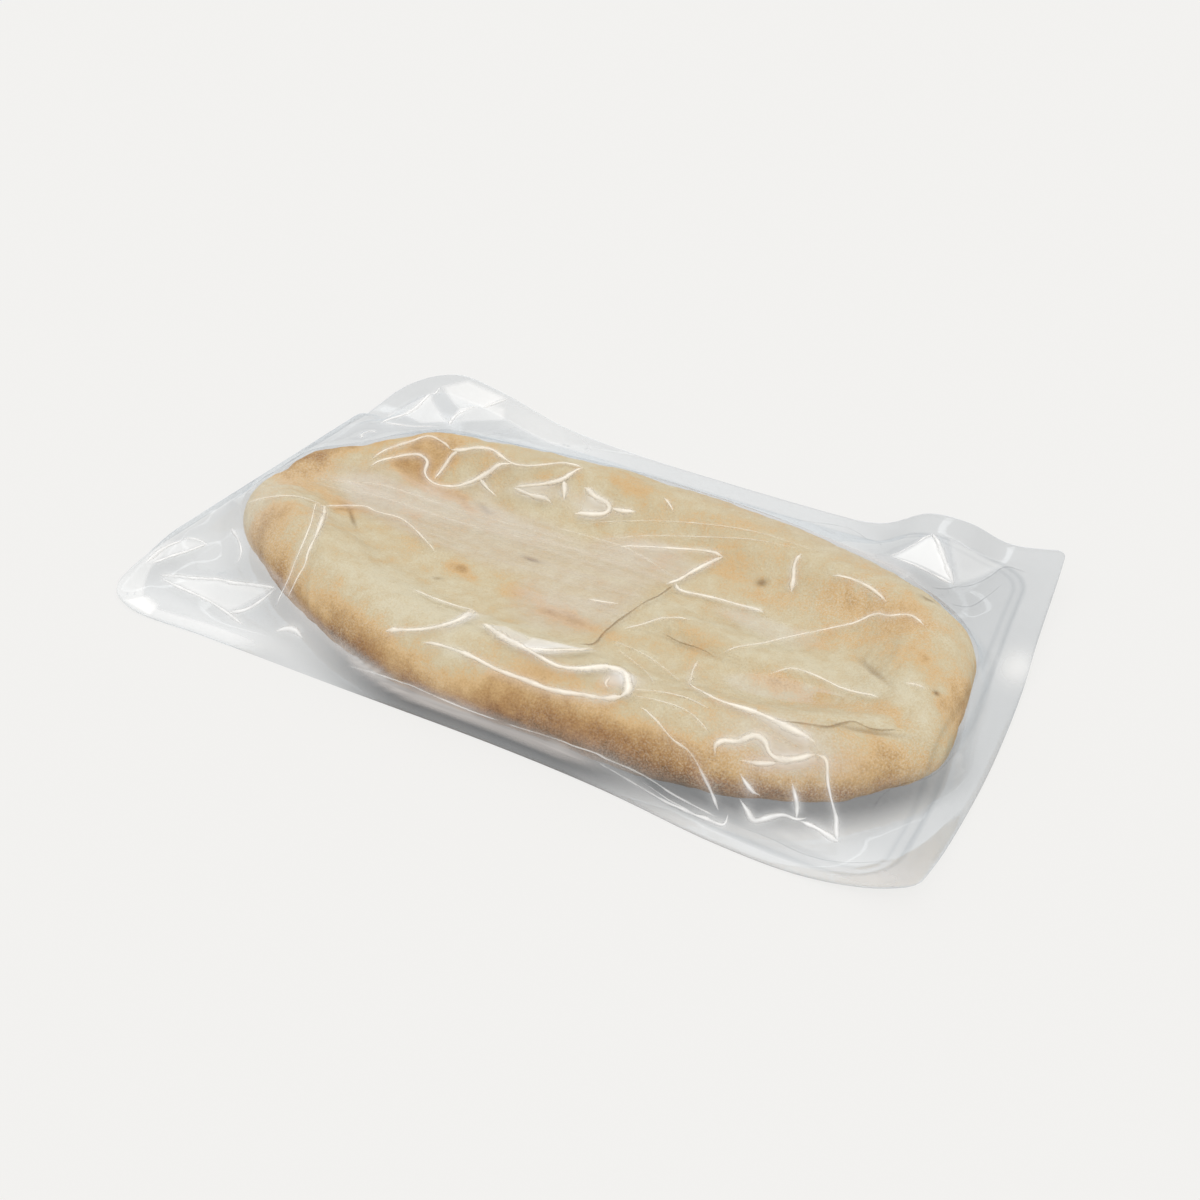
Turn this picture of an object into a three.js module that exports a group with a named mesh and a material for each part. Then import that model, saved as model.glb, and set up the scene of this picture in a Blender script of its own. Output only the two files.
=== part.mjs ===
// A par-baked pinsa base, vacuum-packed in a clear film pouch.
// Millimetres, +Z up, X along the pouch. The origin is on the table, under the middle of the pouch.
// The sealed pack is one solid. Its skin is the film, drawn over the bread and flat in the sealed margin.
import * as THREE from "three";

// Pouch: its four cut edges as [x, y, height], each from left to right or from near to far
const NEAR_LEFT = [-187, -108, 1];
const NEAR_RIGHT = [190, -107, 9];
const FAR_LEFT = [-167, 110, 20];
const FAR_RIGHT = [178, 114, 14];
const NEAR_EDGE = [
  NEAR_LEFT,
  [-168, -115, 0.5],
  [-130, -113.5, 0],
  [-60, -112, 0],
  [22, -110, 0],
  [68, -111, 0],
  [115, -115, 0],
  [150, -115, 1],
  [175, -112, 5],
  NEAR_RIGHT,
];
const FAR_EDGE = [
  FAR_LEFT,
  [-143, 114, 17],
  [-117, 113, 13],
  [-85, 112, 5],
  [-45, 112, 1],
  [50, 111, 0],
  [92, 112, 2],
  [114, 113, 14],
  [133, 113, 15],
  [153, 113, 10],
  FAR_RIGHT,
];
const LEFT_EDGE = [
  NEAR_LEFT,
  [-190, -85, 0.5],
  [-190, -30, 0],
  [-189, 20, 0],
  [-184, 60, 2],
  [-176, 90, 10],
  FAR_LEFT,
];
const RIGHT_EDGE = [
  NEAR_RIGHT,
  [191, -80, 3],
  [191, -30, 0.5],
  [188, 20, 2],
  [184, 54, 5],
  [180, 95, 10],
  FAR_RIGHT,
];
const SEAL_WIDTH = { left: 12, right: 14, near: 7, far: 14 };
const MARGIN_THICKNESS = 1.0;
const CHAMBER_STEP = { height: 0.8, reach: 4 }; // the film stands a little prouder inside the seal
const FILM_PULL = 0.045; // film curvature where it hangs free, per mm: suction over film tension

// The left margin folds down to the table over a ridge along its seal
const LEFT_FOLD = { near: [-183, -92], far: [-175, 84], fade: 25, reach: 5, height: 11.5 };
// The lift of the cut edges fades out over this distance from the bread
const LIFT_CLEARANCE = 22;

// Large folds of the film, from the bread's shoulder to the seal: two ends, height, half width
const FILM_FOLDS = [
  { from: [-112, -84], to: [-172, -90], height: 6, width: 13 },
  { from: [-112, -84], to: [-116, -107], height: 5, width: 10 },
  { from: [-150, -56], to: [-176, -72], height: 4, width: 12 },
  { from: [-132, 62], to: [-138, 100], height: 6, width: 12 },
  { from: [-132, 62], to: [-168, 98], height: 7, width: 13 },
  { from: [122, 60], to: [112, 98], height: 5, width: 12 },
  { from: [140, 58], to: [168, 100], height: 5, width: 13 },
  { from: [118, -92], to: [124, -106], height: 3, width: 9 },
  { from: [140, -84], to: [166, -104], height: 4, width: 11 },
];
const FOLD_TAPER = 0.7; // share of its height that a fold loses on the way to the seal
const FOLD_SEAL_REACH = 10; // and it dies out over this distance from the seal

// Bread
const BREAD_CENTRE = new THREE.Vector2(6.5, -14.5);
const BREAD_HALF_LENGTH = 176;
const BREAD_HALF_WIDTH = 86;
const BREAD_TILT = -0.05; // radians, in plan
const BREAD_SQUARENESS = 2.5; // 2 is an ellipse
const BREAD_BULGES = [
  // slow departures from the oval: how many lobes, their size as a share, where the first one points
  { lobes: 2, size: 0.031, toward: 2.23 },
  { lobes: 3, size: 0.02, toward: -2.97 },
  { lobes: 5, size: 0.008, toward: -2.2 },
];
const BELLY_HEIGHT = 9; // where the bread is widest
const BELLY_SKIRT = 5; // from the belly out to where the film comes down
const RIM_HEIGHT = 25;
const RIM_REACH = 21; // from the widest line in to the rim's crest
const FLOOR_HEIGHT = 17.5; // the dimpled middle
const RIM_SLOPE_REACH = 30; // from the crest in to the middle

// Finger-pressed dents and oven swells of the crust: centre, half length, half width, turn, rise
const CRUST_RELIEF = [
  { x: -55, y: 6, long: 80, wide: 17, turn: 0.03, rise: -5.5 },
  { x: 88, y: -2, long: 34, wide: 15, turn: -0.06, rise: -5 },
  { x: 112, y: -42, long: 32, wide: 9, turn: 0.08, rise: -5 },
  { x: -8, y: -38, long: 36, wide: 11, turn: 0.05, rise: -3.5 },
  { x: -112, y: 30, long: 13, wide: 9, turn: 0.3, rise: -5 },
  { x: -74, y: 26, long: 15, wide: 8, turn: -0.4, rise: -4 },
  { x: 40, y: 30, long: 26, wide: 11, turn: -0.2, rise: -3 },
  { x: -122, y: 48, long: 17, wide: 13, turn: 0.5, rise: 4 },
  { x: -48, y: 46, long: 22, wide: 13, turn: -0.1, rise: 3 },
  { x: -6, y: 54, long: 24, wide: 13, turn: 0.1, rise: 3.5 },
  { x: 128, y: 28, long: 24, wide: 18, turn: -0.5, rise: 4 },
  { x: -128, y: -42, long: 30, wide: 22, turn: -0.6, rise: 4 },
  { x: 72, y: -24, long: 26, wide: 8, turn: -0.15, rise: 3.5 },
  { x: 36, y: -76, long: 60, wide: 15, turn: 0.02, rise: 2.5 },
  { x: 118, y: -74, long: 24, wide: 14, turn: 0.3, rise: 3 },
];

// Grid of the skin
const CELLS_ALONG = 68;
const CELLS_ACROSS = 42;
const DRAWDOWN_PASSES = 500;
// The cells under the middle of the bread, where the pack lies flat on the table
const FLAT_FOOT = { fromX: -108, toX: 128, fromY: -78, toY: 42 };

const smooth = THREE.MathUtils.smoothstep;
const bell = (distance, reach) => Math.exp(-0.5 * (distance / reach) ** 2);

// Plan of the bread

// How far out a plan point lies from the bread's centre: 1 on the bread's widest line.
function breadShare(x, y) {
  const turned = new THREE.Vector2(x, y).rotateAround(BREAD_CENTRE, -BREAD_TILT).sub(BREAD_CENTRE);
  const along = turned.x / BREAD_HALF_LENGTH;
  const across = turned.y / BREAD_HALF_WIDTH;
  const angle = Math.atan2(across, along);
  const bulge = BREAD_BULGES.reduce((sum, b) => sum + b.size * Math.cos(b.lobes * angle - b.toward), 1);
  const power = BREAD_SQUARENESS;
  return (Math.abs(along) ** power + Math.abs(across) ** power) ** (1 / power) / bulge;
}

// Distance from a plan point to the bread's widest line, positive inside the bread.
function insideBread(x, y) {
  const step = 0.5;
  const slopeX = (breadShare(x + step, y) - breadShare(x - step, y)) / (2 * step);
  const slopeY = (breadShare(x, y + step) - breadShare(x, y - step)) / (2 * step);
  return (1 - breadShare(x, y)) / Math.max(Math.hypot(slopeX, slopeY), 1e-3);
}

// Plan of the pouch

const edgeCurve = (edge) => new THREE.CatmullRomCurve3(edge.map((place) => new THREE.Vector3(...place)));
const [nearEdge, farEdge, leftEdge, rightEdge] = [NEAR_EDGE, FAR_EDGE, LEFT_EDGE, RIGHT_EDGE].map(edgeCurve);
const [nearLength, leftLength] = [nearEdge.getLength(), leftEdge.getLength()];

// A point of the sheet that spans the four cut edges, from its shares along X and Y.
function sheetPoint(u, v) {
  const between = (a, b, share) => new THREE.Vector3().lerpVectors(a, b, share);
  const nearToFar = between(nearEdge.getPointAt(u), farEdge.getPointAt(u), v);
  const leftToRight = between(leftEdge.getPointAt(v), rightEdge.getPointAt(v), u);
  const nearCorners = between(nearEdge.points[0], nearEdge.points.at(-1), u);
  const farCorners = between(farEdge.points[0], farEdge.points.at(-1), u);
  return nearToFar.add(leftToRight).sub(between(nearCorners, farCorners, v));
}

// Distance in from the seal's inner line, positive in the chamber.
function insideSeal(u, v) {
  return Math.min(
    u * nearLength - SEAL_WIDTH.left,
    (1 - u) * nearLength - SEAL_WIDTH.right,
    v * leftLength - SEAL_WIDTH.near,
    (1 - v) * leftLength - SEAL_WIDTH.far,
  );
}

// Heights

// Top of the crust: a round shoulder up to the rim, then down to the dimpled middle.
function crustHeight(x, y) {
  const inside = insideBread(x, y);
  if (inside <= 0) return BELLY_HEIGHT * (1 + inside / BELLY_SKIRT);
  const shoulder = Math.sqrt(1 - (1 - Math.min(inside / RIM_REACH, 1)) ** 2);
  const rim = BELLY_HEIGHT + (RIM_HEIGHT - BELLY_HEIGHT) * shoulder;
  const fall = (RIM_HEIGHT - FLOOR_HEIGHT) * smooth(inside, RIM_REACH, RIM_REACH + RIM_SLOPE_REACH);
  const relief = CRUST_RELIEF.reduce((sum, r) => {
    const offset = new THREE.Vector2(x - r.x, y - r.y).rotateAround(new THREE.Vector2(), -r.turn);
    return sum + r.rise * bell(offset.x, r.long) * bell(offset.y, r.wide);
  }, 0);
  return rim - fall + relief * smooth(inside, 0, RIM_REACH);
}

// Underside of the pack: flat under the bread, lifted where the margin stands up.
function underHeight({ x, y, z }) {
  const outside = -insideBread(x, y);
  const lift = Math.max(z, 0) * smooth(outside, 0, LIFT_CLEARANCE);
  const { near, far, fade, reach, height } = LEFT_FOLD;
  const foldX = THREE.MathUtils.mapLinear(y, near[1], far[1], near[0], far[0]);
  const ends = smooth(y, near[1] - fade, near[1] + fade) * (1 - smooth(y, far[1] - fade, far[1]));
  const fold = height * ends * bell(x - foldX, reach) * smooth(outside, 0, reach);
  return Math.max(lift, fold);
}

// How much the film's large folds raise it.
function foldHeight(x, y) {
  return FILM_FOLDS.reduce((most, fold) => {
    const start = new THREE.Vector2(...fold.from);
    const run = new THREE.Vector2(...fold.to).sub(start);
    const offset = new THREE.Vector2(x, y).sub(start);
    const share = THREE.MathUtils.clamp(offset.dot(run) / run.lengthSq(), 0, 1);
    const away = offset.sub(run.multiplyScalar(share)).length();
    return Math.max(most, fold.height * (1 - FOLD_TAPER * share) * Math.max(0, 1 - away / fold.width));
  }, 0);
}

// Skin

const columns = CELLS_ALONG + 1;
const rows = CELLS_ACROSS + 1;
const at = (i, j) => j * columns + i;

function gridPoint(i, j) {
  const [u, v] = [i / CELLS_ALONG, j / CELLS_ACROSS];
  const place = sheetPoint(u, v);
  return { x: place.x, y: place.y, chamber: insideSeal(u, v), under: underHeight(place) };
}

// Draws the film down: each point hangs between its neighbours and rests on the bread and the lower film.
function drawnFilm(points) {
  const floor = points.map((p) => {
    const step = CHAMBER_STEP.height * smooth(p.chamber, 0, CHAMBER_STEP.reach);
    return Math.max(p.under + MARGIN_THICKNESS + step, crustHeight(p.x, p.y));
  });
  const squareX = (nearLength / CELLS_ALONG) ** 2;
  const squareY = (leftLength / CELLS_ACROSS) ** 2;
  const spread = 2 * (squareX + squareY);
  const film = floor.slice();
  const hung = (k) => {
    const along = squareY * (film[k - 1] + film[k + 1]);
    const across = squareX * (film[k - columns] + film[k + columns]);
    return (along + across - FILM_PULL * squareX * squareY) / spread;
  };
  for (let pass = 0; pass < DRAWDOWN_PASSES; pass++) {
    points.forEach((p, k) => {
      if (p.chamber > 0) film[k] = Math.max(floor[k], hung(k));
    });
  }
  return film.map((height, k) => {
    const { x, y, chamber } = points[k];
    return height + foldHeight(x, y) * smooth(chamber, 0, FOLD_SEAL_REACH);
  });
}

// The flat foot's rectangle of whole cells.
function footCells(points) {
  const middleRow = Math.round(rows / 2);
  const middleColumn = Math.round(columns / 2);
  const alongIn = [...Array(columns).keys()].filter((i) => {
    const { x } = points[at(i, middleRow)];
    return x >= FLAT_FOOT.fromX && x <= FLAT_FOOT.toX;
  });
  const acrossIn = [...Array(rows).keys()].filter((j) => {
    const { y } = points[at(middleColumn, j)];
    return y >= FLAT_FOOT.fromY && y <= FLAT_FOOT.toY;
  });
  return { left: alongIn[0], right: alongIn.at(-1), near: acrossIn[0], far: acrossIn.at(-1) };
}

// The grid's points in order round a rectangle of cells, anticlockwise from above.
function roundCells({ left, right, near, far }) {
  const loop = [];
  for (let i = left; i < right; i++) loop.push(at(i, near));
  for (let j = near; j < far; j++) loop.push(at(right, j));
  for (let i = right; i > left; i--) loop.push(at(i, far));
  for (let j = far; j > near; j--) loop.push(at(left, j));
  return loop;
}

function packGeometry() {
  const points = [];
  for (let j = 0; j < rows; j++) {
    for (let i = 0; i < columns; i++) points.push(gridPoint(i, j));
  }
  const film = drawnFilm(points);
  const lower = points.length; // index of the first point of the underside
  const middle = 2 * lower; // the flat foot is a fan round this point
  const places = [
    ...points.map((p, k) => new THREE.Vector3(p.x, p.y, film[k])),
    ...points.map((p) => new THREE.Vector3(p.x, p.y, p.under)),
    new THREE.Vector3(BREAD_CENTRE.x, BREAD_CENTRE.y, 0),
  ];

  const foot = footCells(points);
  const inFoot = (i, j) => i >= foot.left && i < foot.right && j >= foot.near && j < foot.far;
  const triangles = [];
  for (let j = 0; j < CELLS_ACROSS; j++) {
    for (let i = 0; i < CELLS_ALONG; i++) {
      const [a, b, c, d] = [at(i, j), at(i + 1, j), at(i + 1, j + 1), at(i, j + 1)];
      triangles.push(a, b, c, a, c, d);
      if (!inFoot(i, j)) triangles.push(...[a, c, b, a, d, c].map((k) => lower + k));
    }
  }
  roundCells(foot).forEach((k, n, loop) => {
    triangles.push(middle, lower + loop[(n + 1) % loop.length], lower + k);
  });
  roundCells({ left: 0, right: CELLS_ALONG, near: 0, far: CELLS_ACROSS }).forEach((k, n, loop) => {
    const next = loop[(n + 1) % loop.length];
    triangles.push(lower + k, lower + next, next, lower + k, next, k);
  });

  // Points of the underside that only the foot's inner cells would have used are left out.
  const used = [...new Set(triangles)].sort((a, b) => a - b);
  const renumbered = new Map(used.map((old, fresh) => [old, fresh]));
  const geometry = new THREE.BufferGeometry().setFromPoints(used.map((k) => places[k]));
  geometry.setIndex(triangles.map((k) => renumbered.get(k)));
  geometry.computeVertexNormals();
  return geometry;
}

// Stands a geometry on the table with the middle of its box over the origin.
function centredOnTable(geometry) {
  geometry.computeBoundingBox();
  const { min, max } = geometry.boundingBox;
  return geometry.translate(-(min.x + max.x) / 2, -(min.y + max.y) / 2, -min.z);
}

const clearFilmOverCrust = new THREE.MeshStandardMaterial({ color: 0xdcc69c, roughness: 0.25, metalness: 0 });
const pouch = new THREE.Mesh(centredOnTable(packGeometry()), clearFilmOverCrust);
pouch.name = "pouch";

const pinsaPack = new THREE.Group();
pinsaPack.add(pouch);

export default pinsaPack;
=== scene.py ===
"""Vacuum-packed pinsa base: a par-baked flatbread in a clear film pouch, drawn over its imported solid."""
import math
from collections import namedtuple

import bpy
import numpy as np
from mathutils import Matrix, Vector
from mathutils.bvhtree import BVHTree


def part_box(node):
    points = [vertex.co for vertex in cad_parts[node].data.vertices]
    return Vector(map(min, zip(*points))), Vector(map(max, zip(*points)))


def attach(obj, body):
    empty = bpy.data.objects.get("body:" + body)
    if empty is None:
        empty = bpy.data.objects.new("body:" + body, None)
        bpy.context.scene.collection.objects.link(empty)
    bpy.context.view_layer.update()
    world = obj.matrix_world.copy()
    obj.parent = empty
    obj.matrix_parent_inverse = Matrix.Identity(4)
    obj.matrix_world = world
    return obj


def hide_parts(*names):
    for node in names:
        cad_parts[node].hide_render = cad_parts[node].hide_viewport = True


bl_info = {
    "name": "Packed pinsa base",
    "version": (1, 0, 0),
    "blender": (4, 5, 0),
    "location": "3D View > Sidebar > Pinsa",
    "description": "Makes a par-baked pinsa base in its clear vacuum pouch",
    "category": "Mesh",
}

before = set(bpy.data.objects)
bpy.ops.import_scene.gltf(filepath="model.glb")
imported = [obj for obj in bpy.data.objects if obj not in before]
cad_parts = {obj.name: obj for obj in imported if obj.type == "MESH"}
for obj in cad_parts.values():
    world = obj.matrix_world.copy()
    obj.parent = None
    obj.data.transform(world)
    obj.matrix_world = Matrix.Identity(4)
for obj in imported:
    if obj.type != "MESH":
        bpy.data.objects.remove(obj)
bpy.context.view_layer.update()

MM = 0.001  # shapes below are worked out in millimetres, meshes are in metres

# Pouch: its four cut edges as (x, y, height), each from left to right or from near to far
NEAR_LEFT = (-187, -108, 1)
NEAR_RIGHT = (190, -107, 9)
FAR_LEFT = (-167, 110, 20)
FAR_RIGHT = (178, 114, 14)
NEAR_EDGE = (
    NEAR_LEFT,
    (-168, -115, 0.5),
    (-130, -113.5, 0),
    (-60, -112, 0),
    (22, -110, 0),
    (68, -111, 0),
    (115, -115, 0),
    (150, -115, 1),
    (175, -112, 5),
    NEAR_RIGHT,
)
FAR_EDGE = (
    FAR_LEFT,
    (-143, 114, 17),
    (-117, 113, 13),
    (-85, 112, 5),
    (-45, 112, 1),
    (50, 111, 0),
    (92, 112, 2),
    (114, 113, 14),
    (133, 113, 15),
    (153, 113, 10),
    FAR_RIGHT,
)
LEFT_EDGE = (
    NEAR_LEFT,
    (-190, -85, 0.5),
    (-190, -30, 0),
    (-189, 20, 0),
    (-184, 60, 2),
    (-176, 90, 10),
    FAR_LEFT,
)
RIGHT_EDGE = (
    NEAR_RIGHT,
    (191, -80, 3),
    (191, -30, 0.5),
    (188, 20, 2),
    (184, 54, 5),
    (180, 95, 10),
    FAR_RIGHT,
)
# Radius of the cut corners, as (from the left or right edge, from the near or far edge, radius)
CUT_CORNERS = (("left", "near", 8), ("right", "near", 5), ("left", "far", 26), ("right", "far", 5))
SEAL_CORNER = 16  # radius of the seal's inner corners
EDGE_STEPS = 400  # points along a cut edge
CLEAR_EDGE_START = (-118, -96)  # along the near edge the seal turns clear between these places
CLEAR_EDGE_END = (45, 80)
CHAMBER_STEP = 0.5  # the film stands this much prouder inside the seal
CHAMBER_STEP_REACH = 4
LIFT_CLEARANCE = 22  # the lift of the cut edges fades out over this distance from the bread

# The left margin folds down to the table over a ridge along its seal
LEFT_FOLD_NEAR = (-183, -92)
LEFT_FOLD_FAR = (-175, 84)
LEFT_FOLD_FADE = 25
LEFT_FOLD_REACH = 5
LEFT_FOLD_HEIGHT = 11.5

# Smooth noise: size of its bumps, amount and seed
Noise = namedtuple("Noise", "cell amount seed")
SEAL_WANDER = Noise(34, 0.8, 41)  # how far the seal's inner line strays

# Bread in plan
BREAD_CENTRE = (6.5, -14.5)
BREAD_TILT = -0.05  # radians
BREAD_SQUARENESS = 2.5  # 2 is an ellipse
Bulge = namedtuple("Bulge", "lobes size toward")
BREAD_BULGES = (Bulge(2, 0.031, 2.23), Bulge(3, 0.02, -2.97), Bulge(5, 0.008, -2.2))
# Local departures from the oval: toward which angle and how wide, in degrees, and the share of the radius
Dent = namedtuple("Dent", "toward reach share")
OUTLINE_DENTS = (
    Dent(-178, 3, -0.012),
    Dent(-135, 12, -0.034),
    Dent(-101, 8, 0.045),
    Dent(-66, 9, 0.016),
    Dent(-27, 8, -0.012),
    Dent(-9, 8, 0.02),
    Dent(22, 14, -0.025),
    Dent(58, 12, -0.035),
    Dent(157, 6, -0.02),
    Dent(170, 8, 0.02),
)
BELLY_SKIRT = 5  # from the belly out to where the film comes down
RIM_REACH = 21  # from the widest line in to the rim's crest
RIM_SLOPE_REACH = 30  # from the crest in to the middle
BELLY_CURL = 9  # from the widest line in to where the bread meets the table
BREAD_FOOT = 0.35  # the bread's underside, over the lower film

# Finger-pressed dents and oven swells of the crust: centre, half length, half width, turn, rise
Swell = namedtuple("Swell", "x y long wide turn rise")
CRUST_RELIEF = (
    Swell(-55, 6, 80, 17, 0.03, -5.5),
    Swell(88, -2, 34, 15, -0.06, -5),
    Swell(112, -42, 32, 9, 0.08, -5),
    Swell(-8, -38, 36, 11, 0.05, -3.5),
    Swell(-112, 30, 13, 9, 0.3, -5),
    Swell(-74, 26, 15, 8, -0.4, -4),
    Swell(40, 30, 26, 11, -0.2, -3),
    Swell(-122, 48, 17, 13, 0.5, 4),
    Swell(-48, 46, 22, 13, -0.1, 3),
    Swell(-6, 54, 24, 13, 0.1, 3.5),
    Swell(128, 28, 24, 18, -0.5, 4),
    Swell(-118, -56, 34, 17, -0.5, 2.0),
    Swell(-152, -5, 20, 15, 0.3, -8),
    Swell(72, -24, 26, 8, -0.15, 3.5),
    Swell(36, -76, 60, 15, 0.02, 2.5),
    Swell(118, -74, 24, 14, 0.3, 3),
)
# Smaller shapes of the crust: uneven rim, ridges, lumps and pits
SMALL_RELIEF = (
    Swell(-110, 52, 15, 12, 0.2, 5.0),
    Swell(-161, 4, 9, 7, 0.6, 4.0),
    Swell(-165, -26, 6, 6, 0.0, -3.0),
    Swell(-66, 60, 16, 10, 0.0, -4.0),
    Swell(-38, 60, 16, 10, 0.0, -2.5),
    Swell(-12, 58, 12, 9, 0.0, -1.0),
    Swell(22, 60, 22, 10, 0.0, -2.5),
    Swell(100, 54, 34, 12, -0.3, -4.5),
    Swell(56, -27, 14, 3, -0.2, 1.2),
    Swell(60, -34, 16, 1.6, -0.1, -1.2),
    Swell(112, -29, 17, 3, 0.05, 1.6),
    Swell(145, -35, 12, 2.6, -0.1, 1.3),
    Swell(137, -16, 10, 1.5, -0.7, -1.3),
    Swell(150, -55, 9, 1.5, 0.45, -2.0),
    Swell(159, -45, 1.5, 8, 0.1, -1.8),
    Swell(146, 7, 6, 4, 0.2, 1.0),
    Swell(145, -6, 6, 4, 0.0, 0.9),
    Swell(134, 9, 5, 4, 0.4, 0.9),
    Swell(-113, -27, 7, 0.9, -0.75, -0.9),
    Swell(-96, -46, 28, 14, 0.0, 1.6),
    Swell(70, 20, 12, 7, 0.2, -1.0),
    Swell(104, 36, 12, 7, -0.2, 1.2),
    Swell(-26, -11, 3.5, 1.8, -0.2, -0.6),
    Swell(24, -60, 22, 8, 0.1, -1.2),
    Swell(92, -60, 14, 8, -0.2, 1.0),
)

# Baked colour: centre, half length, half width, turn, amount of browning
BROWNING = (
    # left end
    Swell(-163, -8, 8, 9, 0.6, 0.46),
    Swell(-158, 8, 9, 6, 0.6, 0.38),
    Swell(-150, 20, 14, 6, 0.6, 0.30),
    Swell(-146, -16, 7, 5, 0.0, 0.14),
    Swell(-137, -54, 7, 6, 0.3, 0.18),
    Swell(-121, -72, 9, 6, -0.7, 0.24),
    Swell(-134, -55, 12, 7, 0.3, 0.16),
    Swell(-121, -20, 8, 4, 0.0, 0.38),
    Swell(-95, -9, 5, 2.5, 0.0, 0.16),
    # far rim
    Swell(-110, 42, 14, 7, 0.2, 0.27),
    Swell(-107, 33, 8, 4, 0.1, 0.18),
    Swell(-114, 22, 8, 6, 0.2, 0.48),
    Swell(-90, 17, 12, 4, -0.3, 0.14),
    Swell(-80, 14, 12, 4, -0.3, 0.18),
    Swell(-86, 36, 10, 5, 0.0, 0.07),
    Swell(-72, 44, 20, 5, 0.0, 0.03),
    Swell(-45, 40, 10, 4, 0.0, 0.10),
    Swell(-9, 50, 9, 4, 0.0, 0.30),
    Swell(-52, 46, 26, 5, 0.0, 0.05),
    Swell(12, 39, 6, 7, 0.4, 0.08),
    Swell(38, 44, 12, 5, 0.0, 0.12),
    Swell(64, 44, 16, 5, -0.2, 0.08),
    # middle
    Swell(-48, -35, 6, 3, 0.0, 0.38),
    Swell(10, -41, 18, 4.5, -0.2, 0.42),
    Swell(26, 16, 8, 8, 0.0, 0.08),
    Swell(52, 28, 10, 6, 0.0, 0.20),
    Swell(80, 16, 8, 4, 0.0, 0.18),
    Swell(62, -30, 12, 5, -0.2, 0.05),
    # right end
    Swell(108, 22, 18, 6, -0.1, 0.21),
    Swell(134, 20, 12, 6, -0.4, 0.18),
    Swell(138, 7, 11, 5, 0.0, 0.26),
    Swell(152, -8, 9, 6, 0.0, 0.24),
    Swell(109, -36, 10, 3.5, -0.1, 0.28),
    Swell(147, -40, 10, 4, -0.3, 0.24),
    Swell(130, -42, 14, 3.5, 0.0, 0.14),
    Swell(174, -10, 4, 22, -0.12, 0.34),
    Swell(162, -54, 7, 4, 0.3, 0.06),
    Swell(162, -63, 9, 5, 0.4, 0.32),
    Swell(136, -84, 24, 6, 0.2, 0.03),
    Swell(140, -64, 14, 3, 0.3, 0.05),
    Swell(97, -76, 12, 5, -0.2, 0.06),
    # pale crest of the near rim and of the right end: partly paler crust, partly painted highlight where
    # light falls on it
    Swell(-40, -72, 34, 9, -0.05, -0.14),
    Swell(20, -66, 26, 8, 0.0, -0.10),
    Swell(-33, -98, 9, 4, 0.0, -0.22),
    Swell(-8, -99, 9, 4, 0.0, -0.24),
    Swell(36, -90, 22, 6, 0.0, 0.22),
    Swell(120, -22, 22, 7, -0.25, -0.10),
    Swell(86, -16, 12, 7, 0.0, -0.10),
    Swell(106, 2, 10, 5, 0.2, 0.12),
    Swell(160, -38, 9, 9, 0.0, -0.12),
)
EVEN_BAKE = 0.15  # of the whole crust
UNEVEN_BAKE = (Noise(14, 0.05, 21), Noise(6, 0.05, 22))
BAKE_SLANT = (0.5, -0.7)  # slant of the plan in which noise on the sides is worked out
RAGGED_X = (Noise(10, 4, 23), Noise(4, 2, 24))  # how far the edges of baked patches stray
RAGGED_Y = (Noise(10, 3, 25), Noise(4, 1.5, 26))
# Bands of the side that the oven browns: heights, and distances in, over which each fades out. The near
# side's extra brown is partly browner crust and partly painted shade
Band = namedtuple("Band", "heights reach")
FOOT_BAND = Band((8, 17), (2, 9))
NEAR_BAND = Band((16, 27), (6, 21))
FAR_BAND = Band((10, 21), (4, 14))
FOOT_BAKE = 0.1
NEAR_FOOT_BAKE = 0.42  # more of it on the near side, partly painted shade
NEAR_RIM = (50, 90)  # toward the viewer the near side starts between these places
FAR_RIM = (20, 55)
NEAR_TOAST = 0.38
# More and less toasting along the near rim: place, reach, amount
RIM_TOAST = ((66, 36, 0.34), (-6, 10, -0.10), (-44, 22, 0.22), (-88, 22, -0.10), (126, 24, -0.26))
FAR_TOAST = 0.38  # toasting of the far side's lower edge
# Small dark marks: centre, half length, half width, turn, depth of colour
MARKS = (
    Swell(-26, -11, 3.4, 1.1, -0.15, 0.7),
    Swell(-52, -46, 1.6, 0.9, 0.5, 0.4),
    Swell(-48, -34, 3.2, 1.2, 0.1, 0.12),
    Swell(70, 24, 1.6, 1.3, 0.0, 0.75),
    Swell(137, -16, 8, 0.8, -0.75, 0.45),
    Swell(164, -20, 0.9, 0.9, 0.0, 0.8),
    Swell(-113, -27, 7, 0.5, -0.75, 0.7),
    Swell(62, -35, 11, 0.7, -0.05, 0.2),
    Swell(150, -55, 9, 0.7, 0.45, 0.4),
    Swell(-70, 18, 4, 1.2, -0.4, 0.5),
    Swell(141, 33, 2.5, 1.2, 0.3, 0.6),
)
UNDERSIDE_BAKE = 0.4
UNDERSIDE_FLOUR = 0.2
EVEN_FLOUR = 0.08
UNEVEN_FLOUR = (Noise(17, 0.2, 31),)
# Flour: centre, half length, half width, turn, amount
FLOUR = (
    Swell(-60, -86, 40, 12, -0.1, 0.3),
    Swell(24, -96, 40, 7, 0.0, 0.06),
    Swell(-120, -70, 22, 12, -0.7, 0.4),
    Swell(120, -86, 34, 14, 0.2, 0.25),
    Swell(-160, -20, 14, 40, 0.0, 0.4),
    Swell(110, 24, 40, 16, -0.1, 0.4),
    Swell(150, -50, 24, 24, 0.0, 0.4),
)

# Lumps of the crust
CRUST_LUMPS = (
    Noise(19, 0.7, 3),
    Noise(9, 0.45, 4),
    Noise(5.2, 0.30, 11),
    Noise(2.6, 0.18, 12),
    Noise(1.5, 0.11, 13),
)
LUMP_SLANT = (0.8, -0.9)
LUMP_LIMIT = 0.8  # most that they stand up
LUMP_FOOT = 3  # height at which they have their full size

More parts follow.
